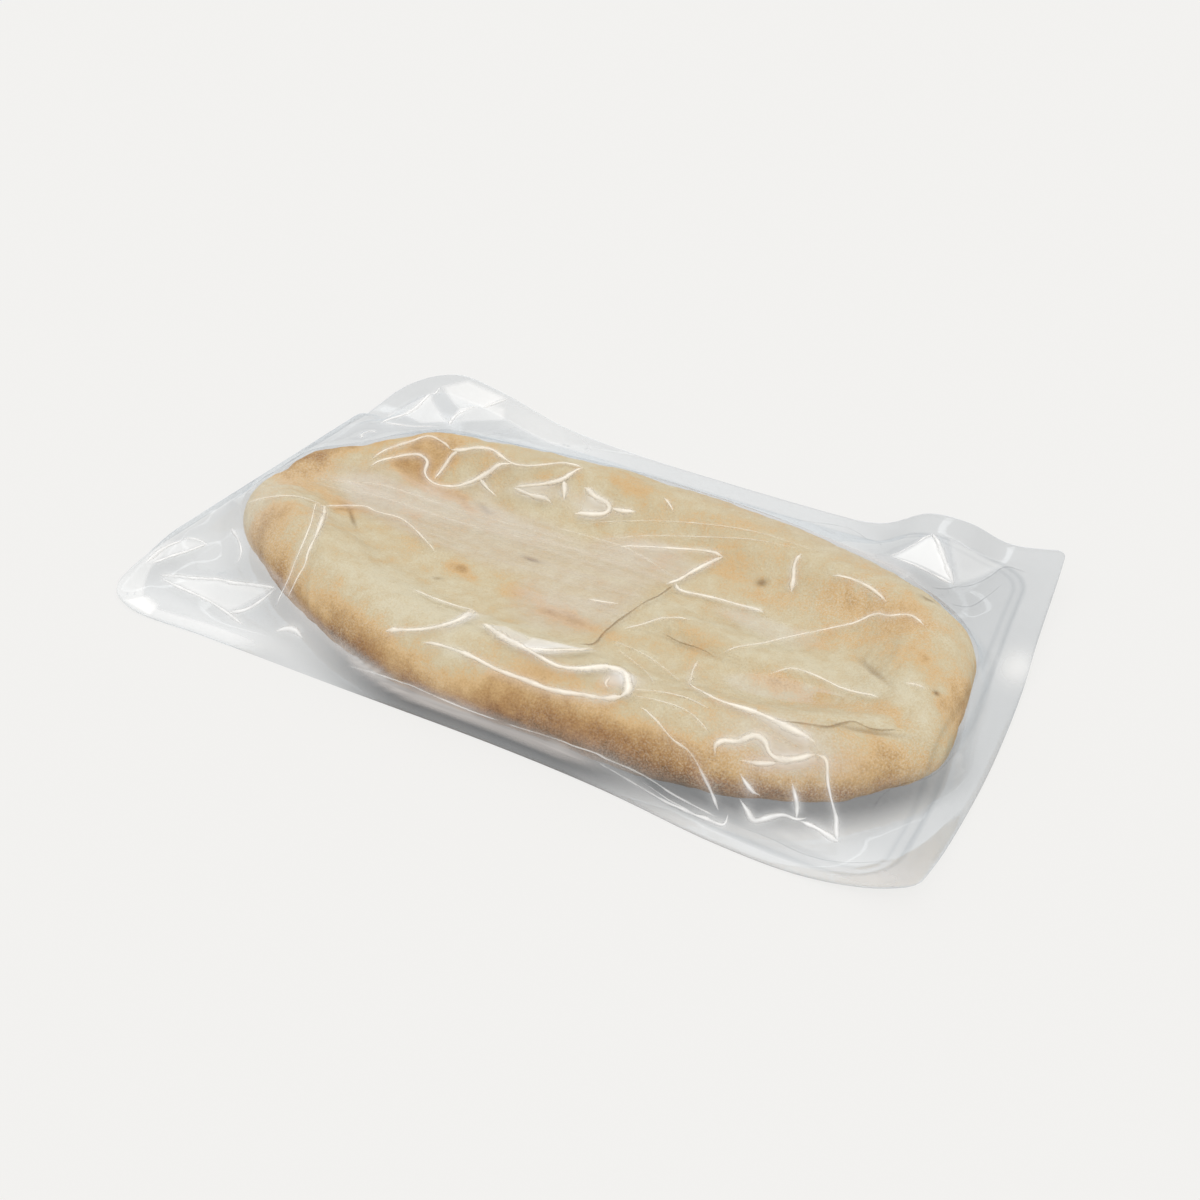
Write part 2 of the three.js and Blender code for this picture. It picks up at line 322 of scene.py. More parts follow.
# Where the film spans the crust tightly: centre, half length, half width, turn
Panel = namedtuple("Panel", "x y long wide turn")
TAUT_PANELS = (
    Panel(-62, -4, 92, 26, -0.03),
    Panel(6, -22, 30, 40, 0.0),
    Panel(12, 8, 32, 20, 0.3),
    Panel(90, -8, 42, 13, -0.1),
    Panel(112, -46, 34, 10, 0.08),
)
HAZY_PANELS = TAUT_PANELS[:3]
PANEL_EDGE = (0.7, 1.1)  # shares of a panel's size between which it fades out
# Where loose film stands off the table in facets
FACETS = (
    Panel(-140, -89, 40, 14, 0.05),
    Panel(-172, -78, 12, 20, 0.0),
    Panel(-148, 84, 34, 30, 0.4),
    Panel(124, 86, 26, 26, 0.0),
    Panel(150, 84, 22, 22, 0.4),
    Panel(146, -96, 26, 14, 0.2),
)

# Creases of the film: how far each stands over the drawn film, its route, and half widths of the pinched
# film along it. A route with heights of its own holds them all along; another one fades at both ends.
Crease = namedtuple("Crease", "rise route widths")
CREASES = (
    # far side, left
    Crease(1.1, ((-133, 14), (-129, 23), (-121, 32), (-115, 37), (-106, 37), (-101, 36)),
           (0.4, 0.6, 0.5, 0.4)),
    Crease(1.2, ((-101, 36), (-96, 37), (-89, 41), (-82, 43), (-75, 41), (-67, 39), (-58, 40), (-51, 43),
           (-44, 47), (-34, 48)), (0.6, 0.6, 0.7, 0.5, 0.4, 0.4, 0.5)),
    Crease(1.3, ((-131, 11), (-125, 18), (-119, 25), (-114, 28), (-109, 27), (-107, 22), (-103, 19),
           (-97, 18), (-90, 21), (-84, 27), (-78, 33), (-74, 37), (-67, 39)),
           (0.5, 0.5, 0.6, 0.6, 0.5, 0.8, 0.9, 0.5)),
    Crease(0.8, ((-101, 21), (-100, 29), (-99, 34), (-96, 37)), (0.7, 0.7, 0.5)),
    Crease(0.7, ((-81, 30), (-76, 28), (-68, 25)), (0.9, 0.5, 0.3)),
    Crease(1.3, ((-34, 48), (-39, 38), (-46, 34), (-56, 31), (-62, 30)), (0.5, 0.8, 0.6, 0.5)),
    Crease(1.2, ((-62, 30), (-58, 29), (-50, 28), (-42, 28), (-38, 27)), (0.5, 0.7, 0.8, 0.4)),
    Crease(0.8, ((-39, 38), (-36, 34), (-34, 30)), (0.6, 1.0, 0.5)),
    Crease(1.3, ((-28, 38), (-20, 35), (-13, 34), (-11, 32), (-12, 30), (-16, 28), (-26, 26)),
           (0.6, 1.0, 0.8, 0.7, 1.0, 0.7)),
    Crease(0.7, ((-11, 33), (-4, 34), (1, 36)), (0.5, 0.9, 0.7)),
    Crease(0.8, ((9, 47), (17, 42)), (0.4, 0.4)),
    # left end
    Crease(0.5, ((-160, -45), (-150, -44), (-141, -41), (-134, -36), (-125, -31)), (0.2, 0.35, 0.3)),
    Crease(1.2, ((-125, -31), (-113, -46), (-105, -61), (-102, -71), (-100, -76), (-101, -81),
           (-103, -87)), (0.6, 0.7, 0.6, 0.4, 0.3)),
    Crease(0.7, ((-128, -33), (-114, -53), (-109, -64), (-107, -73), (-106, -82), (-107, -90)),
           (0.3, 0.35, 0.3)),
    Crease(0.8, ((-125, -31), (-122, -22), (-114, -17), (-105, -18), (-93, -17), (-81, -22), (-72, -27),
           (-63, -32)), (0.5, 0.45, 0.4, 0.4, 0.3)),
    # near side, middle
    Crease(0.8, ((-49, -68), (-36, -68), (-26, -66), (-20, -63)), (0.4, 0.5, 0.5)),
    Crease(1.4, ((-43, -95), (-37, -94), (-26, -90), (-20, -85), (-17, -79), (-18, -71), (-21, -64)),
           (0.8, 0.6, 0.6, 0.8, 1.2, 0.7)),
    Crease(1.6, ((-9, -76), (4, -81), (15, -83), (25, -85), (34, -86), (43, -83), (51, -77), (58, -77),
           (62, -82), (64, -86), (62, -89)), (0.6, 0.8, 1.3, 0.6, 0.6, 0.8, 1.2, 1.4, 1.3, 0.7)),
    Crease(1.1, ((-25, -95), (-14, -94), (-1, -94), (10, -95), (24, -95), (36, -95), (48, -93), (58, -91),
           (63, -88)), (0.4, 0.6, 0.6, 0.6, 0.7, 0.8)),
    Crease(1.4, ((17, -83), (26, -79), (34, -70), (34, -60)), (1.2, 0.9, 0.5)),
    Crease(0.4, ((54, -80), (54, -85), (57, -87)), (0.3, 0.4, 0.3)),
    Crease(0.7, ((12, -28), (18, -27), (26, -25)), (0.4, 0.5, 0.4)),
    Crease(1.3, ((4, 15), (19, 22), (32, 28), (41, 30), (48, 30)), (0.4, 0.5, 0.5, 0.7)),
    Crease(1.3, ((48, 30), (43, 23), (40, 14), (38, 6), (35, 1)), (0.6, 1.0, 0.6, 0.5)),
    Crease(1.0, ((38, 4), (42, 0), (51, 2), (59, 4), (69, 5), (79, 6)), (0.5, 0.7, 0.6, 0.6, 1.2)),
    Crease(1.1, ((81, 39), (81, 32), (83, 27), (85, 21)), (0.5, 0.8, 0.8)),
    Crease(0.6, ((36, -38), (46, -29), (59, -23)), (0.3, 0.4, 0.3)),
    # right
    Crease(0.8, ((98, 30), (108, 29), (118, 26), (127, 21)), (0.3, 0.5, 0.5)),
    Crease(0.8, ((80, -34), (89, -24), (95, -12), (105, 2), (117, 10), (125, 15), (131, 14), (139, 15),
           (147, 11)), (0.3, 0.3, 0.4, 0.4, 0.6, 0.4)),
    Crease(1.1, ((72, -42), (74, -50), (77, -58), (82, -68), (91, -73), (98, -75), (108, -75), (117, -75),
           (127, -75), (136, -74)), (0.4, 0.4, 0.5, 0.5, 0.8, 1.0, 0.9)),
    Crease(1.4, ((105, -93), (104, -91), (106, -89), (111, -87), (116, -83), (120, -83), (123, -85),
           (127, -85), (134, -81), (138, -77)), (0.5, 0.8, 0.8, 0.8, 0.7, 0.9, 0.8, 0.6)),
    Crease(0.8, ((113, -91), (120, -89), (127, -86)), (0.4, 0.6, 0.8)),
    Crease(0.6, ((115, -93), (118, -94), (122, -95), (125, -95)), (0.5, 0.7, 0.3)),
    Crease(1.2, ((138, -77), (142, -77), (145, -81), (148, -84), (152, -88), (154, -92), (156, -95)),
           (0.5, 0.5, 0.5, 0.8)),
    Crease(1.1, ((118, -98), (122, -100), (126, -102), (130, -100), (135, -97), (140, -96), (143, -94)),
           (0.5, 0.7, 0.7, 0.6, 0.5)),
    Crease(1.0, ((133, -87), (138, -92), (140, -96)), (0.2, 0.8, 0.9)),
    Crease(1.1, ((141, -96), (148, -95), (152, -95), (156, -95)), (0.5, 0.7, 1.0)),
    Crease(1.0, ((71, -89), (80, -92), (88, -95), (96, -96), (102, -98), (107, -100), (112, -103)),
           (0.2, 0.3, 0.3, 0.5)),
    Crease(1.0, ((62, -105.5), (79, -106), (94, -106), (107, -106.5), (116, -106), (116, -103)),
           (0.2, 0.3, 0.35, 0.4, 0.6)),
    Crease(0.5, ((80, -105), (95, -105.5), (111, -107)), (0.15, 0.2, 0.2)),
    Crease(0.5, ((101, -36), (108, -30), (115, -29), (126, -30), (136, -32), (146, -35)),
           (0.3, 0.4, 0.4, 0.4)),
    Crease(0.6, ((152, -24), (161, -23)), (0.5, 0.4)),
    # along the near foot
    Crease(0.3, ((-58, -103.5), (-42, -105), (-22, -105.8), (-4, -105.8), (18, -105.3)),
           (0.15, 0.3, 0.2, 0.3, 0.15)),
    Crease(0.3, ((20, -105.3), (44, -104.8), (65, -104.4), (87, -104), (112, -105)),
           (0.15, 0.25, 0.35, 0.25, 0.2)),
    # faint pulls in the film
    Crease(0.2, ((64, -84), (72, -80), (84, -78), (96, -80)), (0.15, 0.25, 0.2)),
    Crease(0.2, ((66, -86), (76, -84), (88, -84), (100, -88)), (0.15, 0.25, 0.2)),
    Crease(0.2, ((40, -52), (52, -58), (62, -66), (70, -76)), (0.15, 0.2, 0.15)),
    Crease(0.2, ((36, -48), (52, -50), (66, -56), (76, -64)), (0.15, 0.2, 0.15)),
    Crease(0.2, ((-150, -8), (-120, 2), (-86, 6), (-50, 8), (-16, 10)), (0.1, 0.18, 0.12, 0.18, 0.1)),
    Crease(0.2, ((-148, -13), (-116, -6), (-80, -4), (-44, 0), (-8, 6)), (0.1, 0.15, 0.18, 0.12, 0.1)),
    Crease(0.2, ((-30, 16), (-6, 17), (14, 14), (34, 8)), (0.1, 0.2, 0.15)),
    Crease(0.2, ((-7, 17), (12, 28), (31, 35), (55, 40), (79, 42)), (0.1, 0.22, 0.18, 0.1)),
    Crease(0.2, ((-24, 21), (2, 32), (30, 41), (60, 45), (88, 44)), (0.1, 0.16, 0.2, 0.1)),
    # near left corner
    Crease(None, ((-173, -92, 1), (-161, -88, 3), (-147, -84, 4), (-135, -85, 4.5), (-123, -85, 4.5),
           (-110, -85, 4)), (0.5, 0.8, 0.7, 0.6, 0.4)),
    Crease(None, ((-110, -85, 4), (-114, -89, 3.5), (-120, -94, 2), (-128, -98, 1)), (0.4, 0.6, 0.6)),
    Crease(None, ((-171, -93, 1), (-157, -94, 2), (-144, -95, 2), (-128, -98, 1.5), (-118, -100, 0.5)),
           (0.5, 0.5, 0.4, 0.5)),
    Crease(2.5, ((-182, -91), (-180, -80), (-177, -72)), (0.5, 0.6, 0.4)),
    Crease(2.5, ((-178, -71), (-173, -68), (-167, -66)), (0.4, 0.5, 0.4)),
    Crease(2.5, ((-167, -66), (-173, -80), (-180, -89)), (0.4, 0.5, 0.6)),
    Crease(2.0, ((-162, -55), (-151, -62), (-146, -67), (-145, -71)), (0.5, 0.4, 0.6)),
    Crease(1.5, ((-102, -98), (-97, -96), (-92, -96), (-86, -98)), (0.5, 0.8, 0.6)),
    # far left corner
    Crease(3.0, ((-160, 57), (-155, 74), (-156, 92), (-155, 103)), (0.7, 1.0, 0.6)),
    Crease(1.5, ((-159, 58), (-140, 60), (-131, 65)), (0.5, 0.6, 0.4)),
    Crease(3.0, ((-127, 71), (-131, 84), (-128, 101)), (0.8, 0.6, 0.5)),
    Crease(3.0, ((-128, 101), (-122, 107), (-117, 112)), (0.4, 0.5, 0.3)),
    Crease(2.0, ((-154, 34), (-158, 40), (-157, 45), (-152, 44)), (0.5, 0.6, 0.4)),
    # far right corner
    Crease(None, ((112, 66, 3), (116, 83, 4), (120, 101, 2)), (0.3, 0.3, 0.5)),
    Crease(None, ((112, 66, 3), (129, 68, 4.5), (141, 71, 4)), (0.4, 0.5, 0.6)),
    Crease(None, ((120, 101, 2), (126, 92, 3), (134, 80, 4), (141, 71, 4)), (0.6, 0.9, 0.7)),
)
# Folds that show as thin dark lines of painted shade
DARK_FOLDS = (
    Crease(1.2, ((38, 1), (38, -13), (35, -25), (32, -34), (31, -45), (32, -55), (31, -59), (27, -60)),
           (0.4, 0.4, 0.35, 0.35, 0.5)),
    Crease(0.5, ((52, -34), (60, -36), (70, -36), (77, -37)), (0.2, 0.35, 0.2)),
    Crease(0.5, ((117, -76), (128, -71), (138, -66), (144, -57), (151, -56), (160, -49)),
           (0.2, 0.4, 0.5, 0.4, 0.2)),
    Crease(0.5, ((134, 61), (141, 69), (147, 78), (152, 89), (156, 99), (166, 98)), (0.2, 0.22, 0.2)),
    Crease(0.5, ((143, 61), (151, 67), (155, 76), (158, 86)), (0.15, 0.2, 0.15)),
    Crease(0.3, ((179, -30), (177, -44), (174, -52), (163, -69), (161, -77)), (0.1, 0.16, 0.12)),
    Crease(0.3, ((122, -105), (135, -105), (148, -105), (160, -102), (176, -92)), (0.1, 0.15, 0.12)),
    Crease(0.3, ((12, 89), (45, 94), (80, 103), (96, 93), (104, 79)), (0.12, 0.16, 0.16)),
)
# Flat facets of loose film with a painted reflection of the lamps: how white the painted reflection is,
# and their corners, anticlockwise
PaintedSheen = namedtuple("PaintedSheen", "share corners")
PAINTED_SHEENS = (
    PaintedSheen(0.65, ((112, 66), (141, 71), (120, 101))),
    PaintedSheen(0.25, ((142, 71), (156, 100), (126, 102))),
    PaintedSheen(0.45, ((-155, 104), (-134, 89), (-118, 112), (-143, 113))),
    PaintedSheen(0.55, ((-127, 70), (-129, 98), (-136, 92))),
    PaintedSheen(0.4, ((-140, 64), (-128, 73), (-157, 97), (-172, 76))),
    PaintedSheen(0.3, ((-112, 100), (-116, 107), (-137, 104), (-126, 74))),
    PaintedSheen(0.25, ((-8, -76), (21, -85), (12, -72), (-2, -69))),
    PaintedSheen(0.4, ((13, -84), (21, -85), (36, -62), (12, -72))),
    PaintedSheen(0.07, ((-128, -33), (-110, -62), (-104, -62), (-125, -31))),
    PaintedSheen(0.07, ((-110, -62), (-107, -88), (-101, -86), (-104, -62))),
    PaintedSheen(0.5, ((-177, -112), (-158, -115), (-160, -106), (-170, -103))),
    PaintedSheen(0.4, ((-171, -92), (-128, -98), (-110, -85), (-147, -84))),
    PaintedSheen(0.3, ((-182, -91), (-173, -80), (-167, -66), (-178, -71))),
)
# Painted highlights on the film, soft white patches where lamps would shine in it: centre, half length,
# half width, turn, share
PAINTED_HIGHLIGHTS = (
    Swell(181, 37, 5, 8, 0.3, 0.50),
    Swell(-94, 104, 24, 7, -0.05, 0.26),
    Swell(-150, -105, 24, 5, -0.05, 0.16),
    Swell(-112, -104, 18, 4, 0.0, 0.18),
    Swell(58, -80, 5, 4, 0.0, 0.50),
    Swell(8, -78, 14, 3, -0.15, 0.14),
    Swell(26, -74, 4, 8, -0.6, 0.20),
    Swell(-17, -76, 2.5, 7, -0.1, 0.30),
    Swell(-20, 31, 7, 3, 0.0, 0.28),
    Swell(-48, 31, 12, 2, 0.1, 0.20),
    Swell(118, -80, 12, 5, 0.2, 0.14),
    Swell(-160, -62, 16, 26, 0.0, 0.18),
    Swell(172, -104, 18, 9, 0.0, 0.15),
)
PAINTED_SHEEN_EDGE = (-0.5, 2.5)  # distances in from a facet's edges over which its painted reflection fades in
CREASE_SLOPE = 0.35  # how fast a crease's crest falls off to each side
CREASE_REACH = 3.0
CREASE_FADE = 3.5  # length over which each end of a crease fades
CREASE_MOST_FADE = 0.4  # and the most of the crease's length that it takes
CREASE_END = 0.3  # width of a crease's end as a share of its width
CREASE_STEP = 0.5
PAINTED_GLINT_REACH = 1.4  # half width of the painted highlight beside a crest
PAINTED_GLINT_POWER = 1.5  # how much more painted highlight a wide crease has
CREASE_FULL_WIDTH = 0.8  # half width of a crease with the full painted highlight
CREASE_WIDEST = 1.4  # times the full width from which the painted highlight stays the same
PINCH_SINK = 0.05  # how far a pinched ridge is sunk into the film
PINCH_HEIGHT = 0.3  # height of a pinched ridge as a share of its half width
PINCH_SPREAD = 1.95  # from a crease's half width out to where its painted glint ends
PINCH_LEAST = 0.06  # least half width, at the ends
PINCH_UNEVEN = (Noise(4.0, 0.4, 51),)
PINCH_LEAST_TONE = 0.1  # whiteness of the painted glint on the thinnest ridge
PINCH_TONE = 1.5  # more of it for each millimetre of half width
PINCH_UNEVEN_TONE = (Noise(7.0, 0.35, 52),)
WARM_EDGE = (-3, 4)  # distances in over which the painted glints on creases take on the bread's warm cast
OVER_PACK = 60  # a height above the whole pack

# How the film is drawn down. A pair of places or distances is where something eases in or out.
FILM_CLEARANCE = 0.9  # the film over the crust's larger shape
TAUT_EASING = 0.97  # share of the suction that a taut panel doesn't feel
LOOSE_EASING = 0.85  # and a loose facet
SLACK_PULL = 0.1  # share of the suction that slack film beyond the far side and the left end feels
CLINGING_NEAR = (30, 70)  # beyond these places it feels the whole of it
CLINGING_RIGHT = (120, 150)
SUCTION_EDGE = (-4, 8)  # and so it does further in than this from the bread's widest line
SEAL_EASE = 6  # creases fade out over this distance to the seal

# Haze of film that stands off the crust
STAND_OFF = (0.3, 3.5)
STAND_OFF_HAZE = 0.7
STAND_OFF_EDGE = (-2, 6)
STAND_OFF_RIGHT = (66, 92)
PANEL_HAZE = 0.55  # of film that spans the crust tightly
HAZE_NEAR_END = (62, 85)
# Hazy skirt of film at the bread's near foot, part film haze and part painted reflection of the crust,
# with a broken painted glint along it
NEAR_FOOT = (50, 80)
NEAR_FOOT_RIGHT = (44, 72)
NEAR_FOOT_LEFT = (-80, -40)
NEAR_FOOT_LEFT_SHARE = 0.4
SKIRT_IN = (1.2, 2.5)
SKIRT_OUT = (2.9, 4.6)
SKIRT_HAZE = 1.4
FOOT_GLINT_OUT = 1.9
FOOT_GLINT_REACH = 0.65
FOOT_GLINT_WHITE = 0.7
FOOT_GLINT_NOISE = (Noise(15, 1, 61),)
FOOT_GLINT_GAPS = (-0.3, 0.6)
FOOT_GLINT_BREAK = 0.6  # how much fainter the painted glint is in its gaps
# Haze along the far side, as distance in, reach and share, and at the near right: part film haze, part
# painted reflection
FAR_HAZE = ((1, 4, 0.8), (6, 8, 0.35))
FAR_HAZE_SIDE = (30, 50)
FAR_HAZE_START = (-40, 20)
CORNER_HAZE = 0.8
CORNER_HAZE_START = (112, 130)
CORNER_HAZE_SIDE = (62, 84)
CORNER_HAZE_EDGE = (-2, 5)
# Film that touches the crust, and so doesn't shine
CLING_GAP = (0.4, 2.0)
CLING_EDGE = (-2.5, 0)

# Milkiness of the seal and the lines along it
LEFT_END = (-150, -60)
RIGHT_END = (60, 110)
SEAL_MILK = 0.30
SEAL_EDGE = (-1.0, 1.0)  # across the seal's inner line
LEFT_SEAL_LESS = 0.14
NEAR_CORNER = (-96, -70)
NEAR_CORNER_MORE = 0.45
RIGHT_SEAL_LESS = 0.24
RIGHT_SEAL_NEAR = (-104, -76)
RIGHT_SEAL_FAR = (40, 80)
RIGHT_SEAL_FAR_SHARE = 0.5
SEAL_LINES = ((0, 0.7, 1.0), (4.5, 0.6, 0.6))  # distance in, reach and share
BARE_FOOT = (4, 11)  # distances out from the bread over which the clear near edge loses its gloss

# Painted shadow on the lower film: a dark tint in the margin and at the bread's foot, fading out from the
# foot, stands in for the shade under the pack
MARGIN_SHADE = 0.17
RIGHT_MARGIN_MORE = 0.12
RIGHT_MARGIN = (-80, -30)
NEAR_MARGIN_LESS = 0.09
NEAR_MARGIN = (80, 100)
FOOT_SHADE = 0.22
NEAR_FOOT_SHADE_MORE = 0.78
NEAR_FOOT_SHADE_SIDE = (-5, 70)
NEAR_FOOT_SHADE_START = (-98, -25)
RIGHT_FOOT_SHADE_LESS = 0.25
FOOT_SHADE_REACH = 18
RIGHT_FOOT_REACH_LESS = 0.35

# Finishes. A pair is the least and the most of a range.
CRUST_STOPS = (0.0, 0.2, 0.38, 0.5, 0.65, 0.84, 1.0)  # how baked the crust is at each of its colours
MOTTLE = 0.48  # range over which mottling shifts the crust's bake
BARE_GRAIN = 0.4  # and its grain, with more of it in flour
FLOUR_GRAIN = 0.4
DUST_EDGE = (0.48, 0.62)
DUST = (0.0, 0.75)
FINE_BUMP = 0.4
EMBOSSING = 0.5
STREAK_EDGE = (0.35, 0.7)
STREAKS = (0.75, 1.35)  # as shares of the film's haze
MOST_WHITE = 0.95
FACING_GLOSS = 0.08
GRAZING_GLOSS = 0.8
GLOSS_POWER = 4.0
CLING_DULLING = 0.9
CLING_ROUGHNESS = 0.3
PATCH_EDGE = (0.3, 0.6)
PATCHES = (0.5, 1.0)  # as shares of a crease's painted glint
CREASE_TONE_POWER = 0.7
CREASE_GLOSS = 0.25

# Stage, in metres; directions are a turn round the object from behind it and a height, in degrees
FLOOR_HALF = 4.0
FLOOR_HEIGHT = -0.0002  # a hair under the pack
LAMP_DISTANCE = 1.6
KEY_PLACE = (165, 62)
KEY_SPREAD = 40
STRIP_PLACE = (0, 60)
STRIP_SIZE = (2.6, 0.1)
SKY_AT_HORIZON = 0.75  # as a share of the sky overhead
GLOW_HEIGHT = 38  # of the glow in the sky behind the object, in degrees
GLOW_EDGE = 0.75  # cosine of the glow's half angle
GLOW = 0.4  # what its middle adds to the sky
SENSOR_WIDTH = 36.0  # millimetres

# Grids and steps
FILM_CELLS = (378, 228)
LOWER_FILM_STRIDE = 3
DRAWDOWN_STRIDES = (6, 3, 1)  # from a coarse grid to the full one
DRAWDOWN_PASSES = (300, 160, 220)
BREAD_CELLS = (388, 196)
CURVE_STEPS = 40  # for each point of a curve
SLOPE_STEP = 0.5
LEAST_SLOPE = 1e-3
TINY = 1e-9  # keeps lengths of nothing from being divided by

# Helpers


def mm(length):
    """A property's length in millimetres."""
    return length / MM


def ease(value, low, high):
    """A smooth step from 0 at low to 1 at high."""
    share = np.clip((value - low) / (high - low), 0, 1)
    return share * share * (3 - 2 * share)


def bell(distance, reach):
    """1 at no distance, falling off smoothly."""
    return np.exp(-0.5 * (distance / reach) ** 2)


def turned(x, y, angle):
    """Plan coordinates along and across a direction."""
    return x * math.cos(angle) + y * math.sin(angle), y * math.cos(angle) - x * math.sin(angle)


def swell_sum(swells, x, y):
    """Sum of soft oval bumps at plan points."""
    total = np.zeros_like(x)
    for swell in swells:
        along, across = turned(x - swell.x, y - swell.y, swell.turn)
        total += swell.rise * bell(along, swell.long) * bell(across, swell.wide)
    return total


def panel_mask(panels, x, y):
    """1 inside soft-edged ovals, 0 outside."""
    mask = np.zeros_like(x)
    for panel in panels:
        along, across = turned(x - panel.x, y - panel.y, panel.turn)
        mask = np.maximum(mask, 1 - ease(np.hypot(along / panel.long, across / panel.wide), *PANEL_EDGE))
    return mask


def lattice_noise(x, y, cell, seed):
    """Smooth noise from -1 to 1, with bumps about one cell across."""
    size = 256
    lattice = np.random.default_rng(seed).uniform(-1, 1, (size, size))
    column, row = np.floor(x / cell), np.floor(y / cell)
    across, up = ease(x / cell - column, 0, 1), ease(y / cell - row, 0, 1)
    column, row = column.astype(int), row.astype(int)

    def corner(right, above):
        return lattice[(row + above) % size, (column + right) % size]

    low = corner(0, 0) * (1 - across) + corner(1, 0) * across
    high = corner(0, 1) * (1 - across) + corner(1, 1) * across
    return low * (1 - up) + high * up


def noise_sum(layers, x, y):
    """Sum of layers of smooth noise at plan points."""
    return sum(layer.amount * lattice_noise(x, y, layer.cell, layer.seed) for layer in layers)


def smooth_line(points, count):
    """Evenly spaced points along a smooth curve through the given ones."""
    points = np.asarray(points, float)
    gaps = np.sqrt(np.linalg.norm(np.diff(points, axis=0), axis=1))
    knots = np.concatenate([[0], np.cumsum(gaps)])
    gaps = gaps[:, None]
    slopes = np.diff(points, axis=0) / gaps
    middle = (slopes[:-1] * gaps[1:] + slopes[1:] * gaps[:-1]) / (gaps[1:] + gaps[:-1])
    tangents = np.concatenate([slopes[:1], middle, slopes[-1:]])
    fine = np.linspace(0, knots[-1], CURVE_STEPS * len(points))
    k = np.clip(np.searchsorted(knots, fine, side="right") - 1, 0, len(gaps) - 1)
    s = (fine[:, None] - knots[k][:, None]) / gaps[k]
    start = (1 + 2 * s) * (1 - s) ** 2 * points[k] + s * (1 - s) ** 2 * gaps[k] * tangents[k]
    end = s * s * (3 - 2 * s) * points[k + 1] + s * s * (s - 1) * gaps[k] * tangents[k + 1]
    curve = start + end
    lengths = np.concatenate([[0], np.cumsum(np.linalg.norm(np.diff(curve, axis=0), axis=1))])
    even = np.linspace(0, lengths[-1], count)
    return np.stack([np.interp(even, lengths, curve[:, axis]) for axis in range(points.shape[1])], 1)


def line_length(points):
    return np.linalg.norm(np.diff(np.asarray(points, float), axis=0), axis=1).sum()


# Bread


def outline_radius(angle):
    """Radius of the bread's widest line in a plan scaled to half sizes of 1."""
    bulge = 1 + sum(b.size * np.cos(b.lobes * angle - b.toward) for b in BREAD_BULGES)
    for dent in OUTLINE_DENTS:
        away = (np.degrees(angle) - dent.toward + 180) % 360 - 180
        bulge = bulge + dent.share * bell(away, dent.reach)
    power = BREAD_SQUARENESS
    return bulge / (np.abs(np.cos(angle)) ** power + np.abs(np.sin(angle)) ** power) ** (1 / power)


def bread_share(bread, x, y):
    """How far out a plan point lies from the bread's centre: 1 on the bread's widest line."""
    along, across = turned(x - BREAD_CENTRE[0], y - BREAD_CENTRE[1], BREAD_TILT)
    along = along / mm(bread.half_length)
    across = across / mm(bread.half_width)
    return np.hypot(along, across) / outline_radius(np.arctan2(across, along))


def share_slope(bread, x, y):
    """How fast the share grows, per millimetre."""
    step = SLOPE_STEP
    slope_x = (bread_share(bread, x + step, y) - bread_share(bread, x - step, y)) / (2 * step)
    slope_y = (bread_share(bread, x, y + step) - bread_share(bread, x, y - step)) / (2 * step)
    return np.maximum(np.hypot(slope_x, slope_y), LEAST_SLOPE)


def inside_bread(bread, x, y):
    """Distance from a plan point to the bread's widest line, positive inside the bread."""
    return (1 - bread_share(bread, x, y)) / share_slope(bread, x, y)


def crust_top(bread, x, y):
    """Top of the crust: a round shoulder up to the rim, then down to the dimpled middle."""
    belly, rim = mm(bread.belly_height), mm(bread.rim_height)
    inside = inside_bread(bread, x, y)
    shoulder = np.sqrt(np.clip(1 - (1 - np.clip(inside / RIM_REACH, 0, 1)) ** 2, 0, 1))
    fall = (rim - mm(bread.middle_height)) * ease(inside, RIM_REACH, RIM_REACH + RIM_SLOPE_REACH)
    relief = swell_sum(CRUST_RELIEF, x, y) + swell_sum(SMALL_RELIEF, x, y)
    top = belly + (rim - belly) * shoulder - fall + relief * ease(inside, 0, RIM_REACH)
    return np.where(inside > 0, top, belly * (1 + inside / BELLY_SKIRT))


